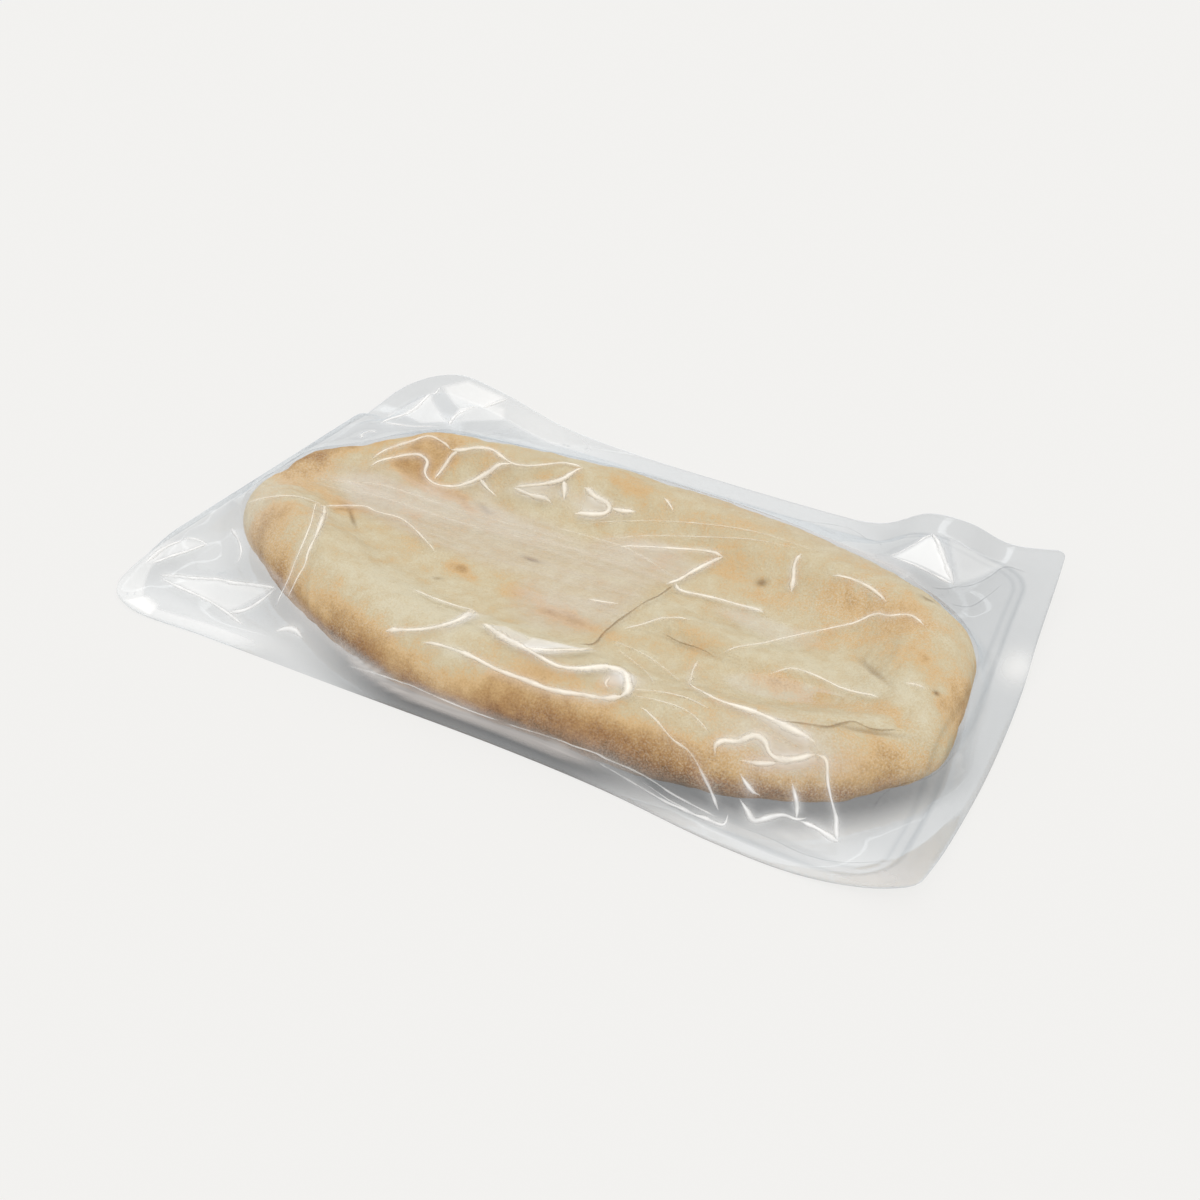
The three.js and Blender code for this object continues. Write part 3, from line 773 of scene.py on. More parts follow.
def bread_points(bread):
    """Grid over the bread's top, shoulder and curled-in side, as arrays of x, y, z and distance in."""
    a = np.linspace(-1, 1, BREAD_CELLS[0] + 1)[None, :]
    b = np.linspace(-1, 1, BREAD_CELLS[1] + 1)[:, None]
    a, b = np.broadcast_arrays(a, b)
    ring = np.maximum(np.abs(a), np.abs(b))
    safe = np.where(ring > 0, ring, 1)
    sideways = np.abs(a) >= np.abs(b)
    slant = np.where(sideways, b, a) / safe * (math.pi / 4)
    cosine = np.where(sideways, np.sign(a) * np.cos(slant), np.sin(slant))
    sine = np.where(sideways, np.sin(slant), np.sign(b) * np.cos(slant))
    angle = np.arctan2(sine, cosine)
    radius = outline_radius(angle)

    def plan(share):
        along = mm(bread.half_length) * radius * share * np.cos(angle)
        across = mm(bread.half_width) * radius * share * np.sin(angle)
        x, y = turned(along, across, -BREAD_TILT)
        return x + BREAD_CENTRE[0], y + BREAD_CENTRE[1]

    slope = share_slope(bread, *plan(1.0))
    belly, rim = mm(bread.belly_height), mm(bread.rim_height)
    inner = 1 / slope - RIM_REACH
    shoulder = math.pi / 4 * (RIM_REACH + rim - belly)
    curl = math.pi / 4 * (BELLY_CURL + belly)
    run = ring * (inner + shoulder + curl)
    crest_angle = np.clip((run - inner) / shoulder, 0, 1) * math.pi / 2
    curl_angle = np.clip((run - inner - shoulder) / curl, 0, 1) * math.pi / 2
    over = RIM_REACH * (1 - np.sin(crest_angle))
    under = BELLY_CURL * (1 - np.cos(curl_angle))
    inset = np.where(run < inner, 1 / slope - run, np.where(curl_angle > 0, under, over))
    x, y = plan(1 - inset * slope)
    top = crust_top(bread, x, y)
    side = BREAD_FOOT + (belly - BREAD_FOOT) * (1 - np.sin(curl_angle))
    z = np.where(curl_angle > 0, side, np.maximum(top, belly))
    return x, y, z, np.where(curl_angle > 0, -under, inset)


def grid_normals(points):
    """Normals of a grid of points, from its neighbours."""
    along = np.gradient(points, axis=1)
    across = np.gradient(points, axis=0)
    normals = np.cross(along, across)
    return normals / np.maximum(np.linalg.norm(normals, axis=2, keepdims=True), TINY)


def slanted(x, y, z, slant):
    """Plan coordinates that keep a pattern from running straight down the bread's sides."""
    return x + slant[0] * z, y + slant[1] * z


def crumb_noise(x, y, z):
    """Lumps of the crust under the film."""
    return np.minimum(noise_sum(CRUST_LUMPS, *slanted(x, y, z, LUMP_SLANT)), LUMP_LIMIT)


def side_band(band, z, inside):
    """1 low on the bread's side, fading out upward and inward."""
    return (1 - ease(z, *band.heights)) * (1 - ease(inside, *band.reach))


def browning_at(x, y, z, inside):
    """How baked the crust is, 0 to 1."""
    near = ease(-y, *NEAR_RIM)
    low = (FOOT_BAKE + NEAR_FOOT_BAKE * near) * side_band(FOOT_BAND, z, inside)
    toast = NEAR_TOAST + sum(amount * bell(x - place, reach) for place, reach, amount in RIM_TOAST)
    toast = toast * near * side_band(NEAR_BAND, z, inside)
    back = FAR_TOAST * ease(y, *FAR_RIM) * side_band(FAR_BAND, z, inside)
    u, v = slanted(x, y, z, BAKE_SLANT)
    brown = EVEN_BAKE + 1 - (1 - low) * (1 - toast) * (1 - back) + noise_sum(UNEVEN_BAKE, u, v)
    brown += swell_sum(BROWNING, x + noise_sum(RAGGED_X, u, v), y + noise_sum(RAGGED_Y, u, v))
    return np.clip(brown, 0, 1)


def grid_faces(columns, rows, first=0, flip=False):
    """Quads of a grid whose points run row by row."""
    corner = np.arange(columns * rows).reshape(rows, columns) + first
    quads = [corner[:-1, :-1], corner[:-1, 1:], corner[1:, 1:], corner[1:, :-1]]
    quads = np.stack([q.ravel() for q in quads], 1)
    return (quads[:, ::-1] if flip else quads).tolist()


def border_loop(columns, rows, first=0):
    """Points in order round a grid's border, anticlockwise from above."""
    corner = np.arange(columns * rows).reshape(rows, columns) + first
    return np.concatenate([corner[0, :-1], corner[:-1, -1], corner[-1, :0:-1], corner[:0:-1, 0]])


def add_piece(name, points, faces, attributes, materials, finishes=None):
    """A smooth mesh piece of the object, from points in millimetres."""
    mesh = bpy.data.meshes.new(name)
    mesh.from_pydata((np.asarray(points) * MM).tolist(), [], faces)
    for attribute, values in attributes.items():
        data = mesh.attributes.new(attribute, "FLOAT", "POINT").data
        data.foreach_set("value", np.asarray(values, np.float32))
    mesh.shade_smooth()
    for material in materials:
        mesh.materials.append(material)
    if finishes:
        mesh.polygons.foreach_set("material_index", finishes)
    mesh.validate()
    piece = bpy.data.objects.new(name, mesh)
    bpy.context.scene.collection.objects.link(piece)
    return piece


# Film


def sheet_shares(cells):
    """Shares along and across the sheet for each point of its grid, with the cut corners rounded off."""
    size = (line_length(NEAR_EDGE), line_length(LEFT_EDGE))
    along = np.linspace(0, size[0], cells[0] + 1)[None, :]
    across = np.linspace(0, size[1], cells[1] + 1)[:, None]
    along, across = (grid.copy() for grid in np.broadcast_arrays(along, across))
    for side, end, radius in CUT_CORNERS:
        out_x = along if side == "left" else size[0] - along
        out_y = across if end == "near" else size[1] - across
        a, b = np.clip(1 - out_x / radius, 0, 1), np.clip(1 - out_y / radius, 0, 1)
        in_x = radius * a * (1 - np.sqrt(1 - b * b / 2))
        in_y = radius * b * (1 - np.sqrt(1 - a * a / 2))
        along += in_x if side == "left" else -in_x
        across += in_y if end == "near" else -in_y
    return along / size[0], across / size[1]


def edge_points(edge, share):
    """Points of a cut edge at shares of its length."""
    line = smooth_line(edge, EDGE_STEPS)
    steps = np.linspace(0, 1, len(line))
    return np.stack([np.interp(share, steps, line[:, axis]) for axis in range(3)], -1)


def pouch_sheet(cells):
    """The sheet that spans the four cut edges, as a grid of points."""
    u, v = sheet_shares(cells)
    near, far = edge_points(NEAR_EDGE, u), edge_points(FAR_EDGE, u)
    left, right = edge_points(LEFT_EDGE, v), edge_points(RIGHT_EDGE, v)
    u, v = u[..., None], v[..., None]
    spans = (1 - v) * near + v * far + (1 - u) * left + u * right
    near_corners = (1 - u) * np.array(NEAR_LEFT) + u * np.array(NEAR_RIGHT)
    far_corners = (1 - u) * np.array(FAR_LEFT) + u * np.array(FAR_RIGHT)
    return spans - (1 - v) * near_corners - v * far_corners


def inside_seal(pouch, cells):
    """Distance in from the seal's inner line, positive in the chamber."""
    u, v = sheet_shares(cells)
    along, across = u * line_length(NEAR_EDGE), v * line_length(LEFT_EDGE)
    ends = np.minimum(along - mm(pouch.seal_left), along.max() - along - mm(pouch.seal_right))
    sides = np.minimum(across - mm(pouch.seal_near), across.max() - across - mm(pouch.seal_far))
    out_x, out_y = SEAL_CORNER - ends, SEAL_CORNER - sides
    corner = np.hypot(np.maximum(out_x, 0), np.maximum(out_y, 0)) + np.minimum(np.maximum(out_x, out_y), 0)
    return SEAL_CORNER - corner + noise_sum((SEAL_WANDER,), along, across)


def under_height(bread, x, y, z):
    """Underside of the pack: flat under the bread, lifted where the margin stands up."""
    outside = -inside_bread(bread, x, y)
    lift = np.maximum(z, 0) * ease(outside, 0, LIFT_CLEARANCE)
    (near_x, near_y), (far_x, far_y) = LEFT_FOLD_NEAR, LEFT_FOLD_FAR
    fold_x = near_x + (y - near_y) / (far_y - near_y) * (far_x - near_x)
    ends = ease(y, near_y - LEFT_FOLD_FADE, near_y + LEFT_FOLD_FADE)
    ends = ends * (1 - ease(y, far_y - LEFT_FOLD_FADE, far_y))
    fold = LEFT_FOLD_HEIGHT * ends * bell(x - fold_x, LEFT_FOLD_REACH) * ease(outside, 0, LEFT_FOLD_REACH)
    return np.maximum(lift, fold)


def refined(coarse, ratio, shape):
    """A coarse grid of heights, read on a finer one."""
    columns = np.arange(shape[1]) / ratio
    rows = np.arange(shape[0]) / ratio
    wide = np.stack([np.interp(columns, np.arange(coarse.shape[1]), line) for line in coarse])
    return np.stack([np.interp(rows, np.arange(coarse.shape[0]), line) for line in wide.T], 1)


def drawn_down(floor, held, pull, cell):
    """Film that hangs between its neighbours, pulled down by suction, and rests on a floor of heights."""
    film = None
    for level, (stride, passes) in enumerate(zip(DRAWDOWN_STRIDES, DRAWDOWN_PASSES)):
        rest = floor[::stride, ::stride]
        still = held[::stride, ::stride][1:-1, 1:-1]
        suction = pull[::stride, ::stride][1:-1, 1:-1]
        if film is None:
            film = rest.copy()
        else:
            film = np.maximum(refined(film, DRAWDOWN_STRIDES[level - 1] // stride, rest.shape), rest)
        square_x, square_y = (cell[0] * stride) ** 2, (cell[1] * stride) ** 2
        spread = 2 * (square_x + square_y)
        sag = suction * square_x * square_y / spread
        core = rest[1:-1, 1:-1]
        for _ in range(passes):
            along = square_y * (film[1:-1, :-2] + film[1:-1, 2:])
            across = square_x * (film[:-2, 1:-1] + film[2:, 1:-1])
            hung = (along + across) / spread - sag
            film[1:-1, 1:-1] = np.where(still, core, np.maximum(core, hung))
    return film


def crease_line(crease):
    """Evenly spaced plan points along a crease, with its rise and half width at each."""
    count = int(line_length(np.asarray(crease.route)[:, :2]) / CREASE_STEP) + 2
    line = smooth_line(crease.route, count)
    share = np.linspace(0, 1, count)
    fade = min(CREASE_FADE / (count * CREASE_STEP), CREASE_MOST_FADE)
    ends = ease(share, 0, fade) * ease(1 - share, 0, fade)
    rise = line[:, 2] if crease.rise is None else crease.rise * ends
    widths = np.interp(share, np.linspace(0, 1, len(crease.widths)), crease.widths)
    return line[:, :2], rise, widths * (CREASE_END + (1 - CREASE_END) * ends)


def crease_fields(x, y):
    """How far the creases stand over the film, and how strong the painted highlight beside them is."""
    lift = np.zeros_like(x)
    glow = np.zeros_like(x)
    for crease in CREASES + DARK_FOLDS:
        line, rise, widths = crease_line(crease)
        low, high = line.min(0) - CREASE_REACH, line.max(0) + CREASE_REACH
        near = np.nonzero((x > low[0]) & (x < high[0]) & (y > low[1]) & (y < high[1]))
        away = np.hypot(x[near][:, None] - line[:, 0], y[near][:, None] - line[:, 1])
        closest = away.argmin(1)
        away = away[np.arange(len(closest)), closest]
        lift[near] = np.maximum(lift[near], rise[closest] - CREASE_SLOPE * away)
        if crease in CREASES:
            width = np.clip(widths[closest] / CREASE_FULL_WIDTH, 0, CREASE_WIDEST)
            shine = width ** PAINTED_GLINT_POWER * bell(away, PAINTED_GLINT_REACH)
            glow[near] = np.maximum(glow[near], shine)
    return lift, glow


def painted_sheen_mask(x, y):
    """How much painted reflection lies on the facets of loose film, as a white share."""
    mask = np.zeros_like(x)
    for painted_sheen in PAINTED_SHEENS:
        corners = np.array(painted_sheen.corners, float)
        inside = np.full_like(x, np.inf)
        for (ax, ay), (bx, by) in zip(corners, np.roll(corners, -1, axis=0)):
            across = (bx - ax) * (y - ay) - (by - ay) * (x - ax)
            inside = np.minimum(inside, across / math.hypot(bx - ax, by - ay))
        mask = np.maximum(mask, painted_sheen.share * ease(inside, *PAINTED_SHEEN_EDGE))
    return mask


def pinched_ridges(bread, creases, film_tree, shift):
    """Low ridges of pinched film along creases: points, faces, points' attributes, faces' finishes."""
    points, faces, tones, warmth, finishes = [], [], [], [], []
    for crease in creases:
        line, _, widths = crease_line(crease)
        along = np.gradient(line, axis=0)
        along /= np.maximum(np.linalg.norm(along, axis=1, keepdims=True), TINY)
        half = np.maximum(widths * (1 + noise_sum(PINCH_UNEVEN, *line.T)) * PINCH_SPREAD, PINCH_LEAST)
        # The crest's whiteness is a painted glint
        crest_tone = (PINCH_LEAST_TONE + PINCH_TONE * widths) * (1 + noise_sum(PINCH_UNEVEN_TONE, *line.T))
        warmth += np.repeat(ease(inside_bread(bread, *line.T), *WARM_EDGE), 3).tolist()
        first = len(points)
        for (x, y), (tx, ty), w, tone in zip(line, along, half, np.clip(crest_tone, 0, 1)):
            spot = Vector((x + shift[0], y + shift[1], OVER_PACK))
            place, normal, _, _ = film_tree.ray_cast(spot, Vector((0, 0, -1)))
            side = Vector((-ty, tx, 0))
            side = (side - normal * side.dot(normal)).normalized()
            sunk = place - normal * PINCH_SINK
            points += [sunk - side * w, place + normal * w * PINCH_HEIGHT, sunk + side * w]
            tones += [0.0, tone, 0.0]
        for k in range(len(line) - 1):
            a, b = first + 3 * k, first + 3 * (k + 1)
            faces += [[a, b, b + 1, a + 1], [a + 1, b + 1, b + 2, a + 2], [a + 2, b + 2, b, a]]
            finishes += [0, 0, 1]
        last = first + 3 * (len(line) - 1)
        faces += [[first, first + 1, first + 2], [last + 2, last + 1, last]]
        finishes += [1, 1]
    return np.array(points), faces, {"tone": tones, "warmth": warmth}, finishes


def widest_of_neighbours(heights):
    """A grid of heights, each raised to the highest of those round it."""
    rows, columns = heights.shape
    padded = np.pad(heights, 1, mode="edge")
    shifted = [padded[row:row + rows, column:column + columns] for row in range(3) for column in range(3)]
    return np.max(shifted, axis=0)


def softened(heights):
    """A grid of heights, each averaged with those round it."""
    rows = heights[:-2] + 2 * heights[1:-1] + heights[2:]
    soft = heights.copy()
    soft[1:-1, 1:-1] = (rows[:, :-2] + 2 * rows[:, 1:-1] + rows[:, 2:]) / 16
    return soft


def film_heights(bread, pouch, sheet, chamber):
    """Heights of the upper film, of the crust with its clearance, and the painted highlight beside
    creases.
    """
    x, y = sheet[..., 0], sheet[..., 1]
    under = under_height(bread, x, y, sheet[..., 2])
    crust = widest_of_neighbours(crust_top(bread, x, y)) + FILM_CLEARANCE
    step = CHAMBER_STEP * ease(chamber, 0, CHAMBER_STEP_REACH)
    floor = np.maximum(under + mm(pouch.film_gap) + step, crust)
    held = chamber <= 0
    cell = (line_length(NEAR_EDGE) / FILM_CELLS[0], line_length(LEFT_EDGE) / FILM_CELLS[1])
    taut, loose = panel_mask(TAUT_PANELS, x, y), panel_mask(FACETS, x, y)
    pull = pouch.suction * MM * (1 - TAUT_EASING * taut) * (1 - LOOSE_EASING * loose)
    over = ease(inside_bread(bread, x, y), *SUCTION_EDGE)
    clinging = np.maximum(ease(-y, *CLINGING_NEAR), ease(x, *CLINGING_RIGHT))
    pull = pull * np.maximum(over, SLACK_PULL + (1 - SLACK_PULL) * clinging)
    base = drawn_down(floor, held, pull, cell)
    lift, glow = crease_fields(x, y)
    lift = lift * ease(chamber, 0, SEAL_EASE)
    film = drawn_down(np.maximum(floor, base + lift), held, pull, cell)
    return np.maximum(softened(film), floor), crust, glow


def stand_off_haze(x, y, inside, gap):
    """Haze of film that stands off the crust or spans it tightly."""
    loose = ease(gap, *STAND_OFF) * ease(inside, *STAND_OFF_EDGE) * (1 - ease(x, *STAND_OFF_RIGHT))
    haze = np.maximum(STAND_OFF_HAZE * loose, PANEL_HAZE * panel_mask(HAZY_PANELS, x, y))
    return haze * (1 - ease(-y, *HAZE_NEAR_END))


def foot_haze(x, y, inside):
    """Haze of the film round the bread's foot, part film haze and part painted reflection, and the painted
    glint along its near foot.
    """
    near = ease(-y, *NEAR_FOOT) * (1 - ease(x, *NEAR_FOOT_RIGHT))
    near = near * (NEAR_FOOT_LEFT_SHARE + (1 - NEAR_FOOT_LEFT_SHARE) * ease(x, *NEAR_FOOT_LEFT))
    skirt = SKIRT_HAZE * ease(-inside, *SKIRT_IN) * (1 - ease(-inside, *SKIRT_OUT)) * near
    far = np.max([share * bell(inside - place, reach) for place, reach, share in FAR_HAZE], axis=0)
    far = far * ease(y, *FAR_HAZE_SIDE) * ease(x, *FAR_HAZE_START)
    corner = CORNER_HAZE * ease(x, *CORNER_HAZE_START) * ease(-y, *CORNER_HAZE_SIDE)
    corner = corner * ease(inside, *CORNER_HAZE_EDGE)
    whole = ease(noise_sum(FOOT_GLINT_NOISE, x, y), *FOOT_GLINT_GAPS)
    line = FOOT_GLINT_WHITE * bell(inside + FOOT_GLINT_OUT, FOOT_GLINT_REACH) * near
    return np.max([skirt, far, corner], axis=0), line * (1 - FOOT_GLINT_BREAK * (1 - whole))


def seal_milk(x, y):
    """How milky the sealed margin is."""
    left, right = 1 - ease(x, *LEFT_END), ease(x, *RIGHT_END)
    corner = left * (1 - ease(y, *NEAR_CORNER))
    clearer = right * ease(y, *RIGHT_SEAL_NEAR) * (1 - RIGHT_SEAL_FAR_SHARE * ease(y, *RIGHT_SEAL_FAR))
    return SEAL_MILK - LEFT_SEAL_LESS * left + NEAR_CORNER_MORE * corner - RIGHT_SEAL_LESS * clearer


def film_masks(bread, sheet, chamber, film, crust, glow):
    """Shares that the upper film's finish uses, by name."""
    x, y = sheet[..., 0], sheet[..., 1]
    inside = inside_bread(bread, x, y)
    gap = film - crust
    skirt, foot_glint = foot_haze(x, y, inside)
    slope = np.hypot(*np.gradient(crust))
    clear = (y < BREAD_CENTRE[1]) * ease(x, *CLEAR_EDGE_START) * (1 - ease(x, *CLEAR_EDGE_END))
    lines = np.max([share * bell(chamber - place, reach) for place, reach, share in SEAL_LINES], axis=0)
    return {
        "haze": np.maximum(stand_off_haze(x, y, inside, gap), skirt),
        # painted glints beside creases and along the near foot
        "crease": np.maximum(glow, foot_glint),
        # painted reflections on facets and painted highlights on the film
        "painted_sheen": painted_sheen_mask(x, y) + swell_sum(PAINTED_HIGHLIGHTS, x, y),
        "cling": (1 - ease(gap / np.hypot(1, slope), *CLING_GAP)) * ease(inside, *CLING_EDGE),
        "seal": (1 - clear) * seal_milk(x, y) * (1 - ease(chamber, *SEAL_EDGE)),
        "line": ease(x, *RIGHT_END) * lines,
        "lower": np.zeros_like(x),
        "bare": clear * ease(-inside, *BARE_FOOT),
    }


def painted_shade_under_film(bread, x, y):
    """How much painted shadow the lower film's tint puts on what lies under it, most at the bread's near
    foot.
    """
    right = ease(x, *RIGHT_END)
    margin = MARGIN_SHADE + RIGHT_MARGIN_MORE * right * ease(y, *RIGHT_MARGIN)
    margin = margin - NEAR_MARGIN_LESS * ease(-y, *NEAR_MARGIN)
    near = ease(-y, *NEAR_FOOT_SHADE_SIDE) * ease(x, *NEAR_FOOT_SHADE_START)
    foot = FOOT_SHADE + NEAR_FOOT_SHADE_MORE * near * (1 - RIGHT_FOOT_SHADE_LESS * right)
    reach = FOOT_SHADE_REACH * (1 - RIGHT_FOOT_REACH_LESS * right)
    fall = np.clip(-inside_bread(bread, x, y) / reach, 0, 1)
    return margin + (foot - margin) * (1 - fall)


def joined_films(upper, lower):
    """Points and faces of both films, the lower one on a coarser grid, joined along their cut edges."""
    stride = LOWER_FILM_STRIDE
    rows, columns = upper.shape[:2]
    low_rows, low_columns = lower.shape[:2]
    first = rows * columns
    faces = grid_faces(columns, rows) + grid_faces(low_columns, low_rows, first, flip=True)
    top_loop = border_loop(columns, rows).tolist()
    low_loop = border_loop(low_columns, low_rows, first).tolist()
    for k, (low, after) in enumerate(zip(low_loop, low_loop[1:] + low_loop[:1])):
        above = [top_loop[(k * stride + step) % len(top_loop)] for step in range(stride + 1)]
        faces.append([low, after] + above[::-1])
    return np.concatenate([upper.reshape(-1, 3), lower.reshape(-1, 3)]), faces


# Materials


def node(tree, kind, inputs=None, **settings):
    """Adds a shader node, with its settings and with values or links for its inputs."""
    made = tree.nodes.new(kind)
    for name, value in settings.items():
        setattr(made, name, value)
    for name, value in (inputs or {}).items():
        if isinstance(value, bpy.types.NodeSocket):
            tree.links.new(value, made.inputs[name])
        else:
            made.inputs[name].default_value = value
    return made


def math_node(tree, operation, *values):
    return node(tree, "ShaderNodeMath", dict(enumerate(values)), operation=operation).outputs[0]


def attribute(tree, name):
    return node(tree, "ShaderNodeAttribute", attribute_name=name).outputs["Fac"]


def mixed_colour(tree, share, first, second):
    mix = node(tree, "ShaderNodeMix", {0: share, 6: first, 7: second}, data_type="RGBA")
    return mix.outputs[2]


def noise_node(tree, place, scale, detail=2.0):
    texture = node(tree, "ShaderNodeTexNoise", {"Vector": place, "Scale": scale, "Detail": detail})
    return texture.outputs["Fac"]


def map_range(tree, value, old, new):
    """A value's old range mapped to a new one."""
    ends = {"From Min": old[0], "From Max": old[1], "To Min": new[0], "To Max": new[1]}
    return node(tree, "ShaderNodeMapRange", {"Value": value, **ends}).outputs["Result"]


def mixed_shader(tree, share, first, second):
    return node(tree, "ShaderNodeMixShader", {0: share, 1: first.outputs[0], 2: second.outputs[0]})


def empty_material(name):
    material = bpy.data.materials.new(name)
    material.use_nodes = True
    material.node_tree.nodes.clear()
    return material, material.node_tree


def surface(tree, shader):
    """Ends a material's nodes with a shader."""
    node(tree, "ShaderNodeOutputMaterial", {"Surface": shader.outputs[0]})


def rgba(colour):
    return (*colour, 1.0)


def crust_material(bread):
    """Par-baked crust: cream to brown by how baked it is, with flour and a fine open grain."""
    material, tree = empty_material("crust")
    place = node(tree, "ShaderNodeTexCoord").outputs["Object"]
    flour = attribute(tree, "flour")
    mottle = noise_node(tree, place, scale=150.0, detail=4.0)
    mottle = math_node(tree, "MULTIPLY_ADD", mottle, MOTTLE, -MOTTLE / 2)
    grain = math_node(tree, "SUBTRACT", noise_node(tree, place, scale=1100.0, detail=3.0), 0.5)
    coarse = math_node(tree, "MULTIPLY_ADD", flour, FLOUR_GRAIN, BARE_GRAIN)
    grain = math_node(tree, "MULTIPLY", grain, coarse)
    baked = math_node(tree, "ADD", math_node(tree, "ADD", attribute(tree, "browning"), mottle), grain)
    ramp = node(tree, "ShaderNodeValToRGB", {"Fac": baked})
    colours = (bread.pale, bread.cream, bread.golden, bread.orange, bread.toasted, bread.brown, bread.dark)
    elements = ramp.color_ramp.elements
    elements[0].color = rgba(colours[0])
    elements[1].color = rgba(colours[-1])
    for position, colour in zip(CRUST_STOPS[1:-1], colours[1:-1]):
        elements.new(position).color = rgba(colour)
    dust = map_range(tree, noise_node(tree, place, scale=1500.0), DUST_EDGE, DUST)
    dusted = math_node(tree, "MULTIPLY", dust, flour)
    colour = mixed_colour(tree, dusted, ramp.outputs["Color"], rgba(bread.flour))
    colour = mixed_colour(tree, attribute(tree, "mark"), colour, rgba(bread.dark))
    height = math_node(tree, "MULTIPLY", noise_node(tree, place, scale=2200.0), FINE_BUMP)
    height = math_node(tree, "ADD", noise_node(tree, place, scale=700.0, detail=4.0), height)
    bump = node(tree, "ShaderNodeBump", {"Height": height, "Strength": 0.7, "Distance": 0.0008})
    crust = node(tree, "ShaderNodeBsdfPrincipled", {
        "Base Color": colour,
        "Roughness": 0.85,
        "Specular IOR Level": 0.25,
        "Normal": bump.outputs["Normal"],
    })
    surface(tree, crust)
    return material


def film_material(pouch):
    """Clear glossy film: hazy where it stands off the bread, milky in the seal, with painted highlights
    white on creases, facets and patches, and painted shadow in the lower film's tint.
    """
    material, tree = empty_material("film")
    place = node(tree, "ShaderNodeTexCoord").outputs["Object"]
    seal, cling = attribute(tree, "seal"), attribute(tree, "cling")
    dots = node(tree, "ShaderNodeTexVoronoi", {"Vector": place, "Scale": 620.0, "Randomness": 0.0})
    embossed = math_node(tree, "MULTIPLY", dots.outputs["Distance"], seal)
    wrinkle = noise_node(tree, place, scale=90.0)
    height = math_node(tree, "MULTIPLY_ADD", embossed, EMBOSSING, wrinkle)
    bump = node(tree, "ShaderNodeBump", {"Height": height, "Strength": 0.12, "Distance": 0.0006})
    normal = bump.outputs["Normal"]
    # The lower film's attribute mixes in the painted shadow tint
    tint = mixed_colour(tree, attribute(tree, "lower"), rgba(pouch.film_tint), rgba(pouch.painted_shadow_tint))
    tint = mixed_colour(tree, attribute(tree, "line"), tint, rgba(pouch.line_tint))
    clear = node(tree, "ShaderNodeBsdfTransparent", {"Color": tint})
    stretched = node(tree, "ShaderNodeMapping", {
        "Vector": place,
        "Scale": (14.0, 330.0, 330.0),
        "Rotation": (0.0, 0.0, 0.06),
    })
    streaks = noise_node(tree, stretched.outputs[0], scale=1.0, detail=3.0)
    streaks = map_range(tree, streaks, STREAK_EDGE, [share * pouch.haze for share in STREAKS])
    haze = math_node(tree, "MULTIPLY", attribute(tree, "haze"), streaks)
    milky = node(tree, "ShaderNodeBsdfDiffuse", {"Color": rgba(pouch.haze_and_reflection_colour)})
    body = mixed_shader(tree, haze, clear, milky)
    # White share: painted glints beside creases, the seal's milk, and painted reflections and highlights
    # on the film
    share = math_node(tree, "MULTIPLY", attribute(tree, "crease"), pouch.painted_crease_glint)
    share = math_node(tree, "MULTIPLY_ADD", seal, pouch.seal_haze, share)
    share = math_node(tree, "ADD", share, attribute(tree, "painted_sheen"))
    share = math_node(tree, "MINIMUM", share, MOST_WHITE)
    white = node(tree, "ShaderNodeBsdfDiffuse", {"Color": rgba(pouch.milk_and_highlight_colour)})
    body = mixed_shader(tree, share, body, white)
    facing = node(tree, "ShaderNodeLayerWeight", {"Blend": 0.5, "Normal": normal}).outputs["Facing"]
    share = math_node(tree, "POWER", facing, GLOSS_POWER)
    share = math_node(tree, "MULTIPLY_ADD", share, GRAZING_GLOSS, FACING_GLOSS)
    share = math_node(tree, "MULTIPLY", share, math_node(tree, "MULTIPLY_ADD", cling, -CLING_DULLING, 1.0))
    share = math_node(tree, "MULTIPLY", share, math_node(tree, "SUBTRACT", 1.0, attribute(tree, "bare")))
    gloss = node(tree, "ShaderNodeBsdfAnisotropic", {
        "Color": rgba(pouch.gloss_tint),
        "Roughness": math_node(tree, "MULTIPLY_ADD", cling, CLING_ROUGHNESS, pouch.gloss_roughness),
        "Normal": normal,
    })
    surface(tree, mixed_shader(tree, share, body, gloss))
    return material


def crease_material(pouch):
    """Film pinched to a ridge: glossy, with a painted glint as its white, whiter in some places than
    others.
    """
    material, tree = empty_material("crease")
    place = node(tree, "ShaderNodeTexCoord").outputs["Object"]
    tone, warmth = attribute(tree, "tone"), attribute(tree, "warmth")
    patches = noise_node(tree, place, scale=130.0, detail=1.0)
    patches = map_range(tree, patches, PATCH_EDGE, [share * pouch.painted_glint_whiteness for share in PATCHES])
    whiteness = math_node(tree, "MULTIPLY", math_node(tree, "POWER", tone, CREASE_TONE_POWER), patches)
    clear = node(tree, "ShaderNodeBsdfTransparent")
    colour = mixed_colour(tree, warmth, rgba(pouch.milk_and_highlight_colour), rgba(pouch.painted_glint_colour))
    white = node(tree, "ShaderNodeBsdfDiffuse", {"Color": colour})
    gloss = node(tree, "ShaderNodeBsdfAnisotropic", {"Roughness": 0.2})
    shine = math_node(tree, "MULTIPLY", tone, CREASE_GLOSS)
    surface(tree, mixed_shader(tree, shine, mixed_shader(tree, whiteness, clear, white), gloss))
    return material


def fold_material(pouch):
    """Film folded on itself: a clear dark line of painted shade."""
    material, tree = empty_material("fold")
    shade = mixed_colour(tree, attribute(tree, "warmth"), rgba(pouch.painted_margin_fold_shade), rgba(pouch.painted_fold_shade))
    tint = mixed_colour(tree, attribute(tree, "tone"), (1.0, 1.0, 1.0, 1.0), shade)
    surface(tree, node(tree, "ShaderNodeBsdfTransparent", {"Color": tint}))
    return material


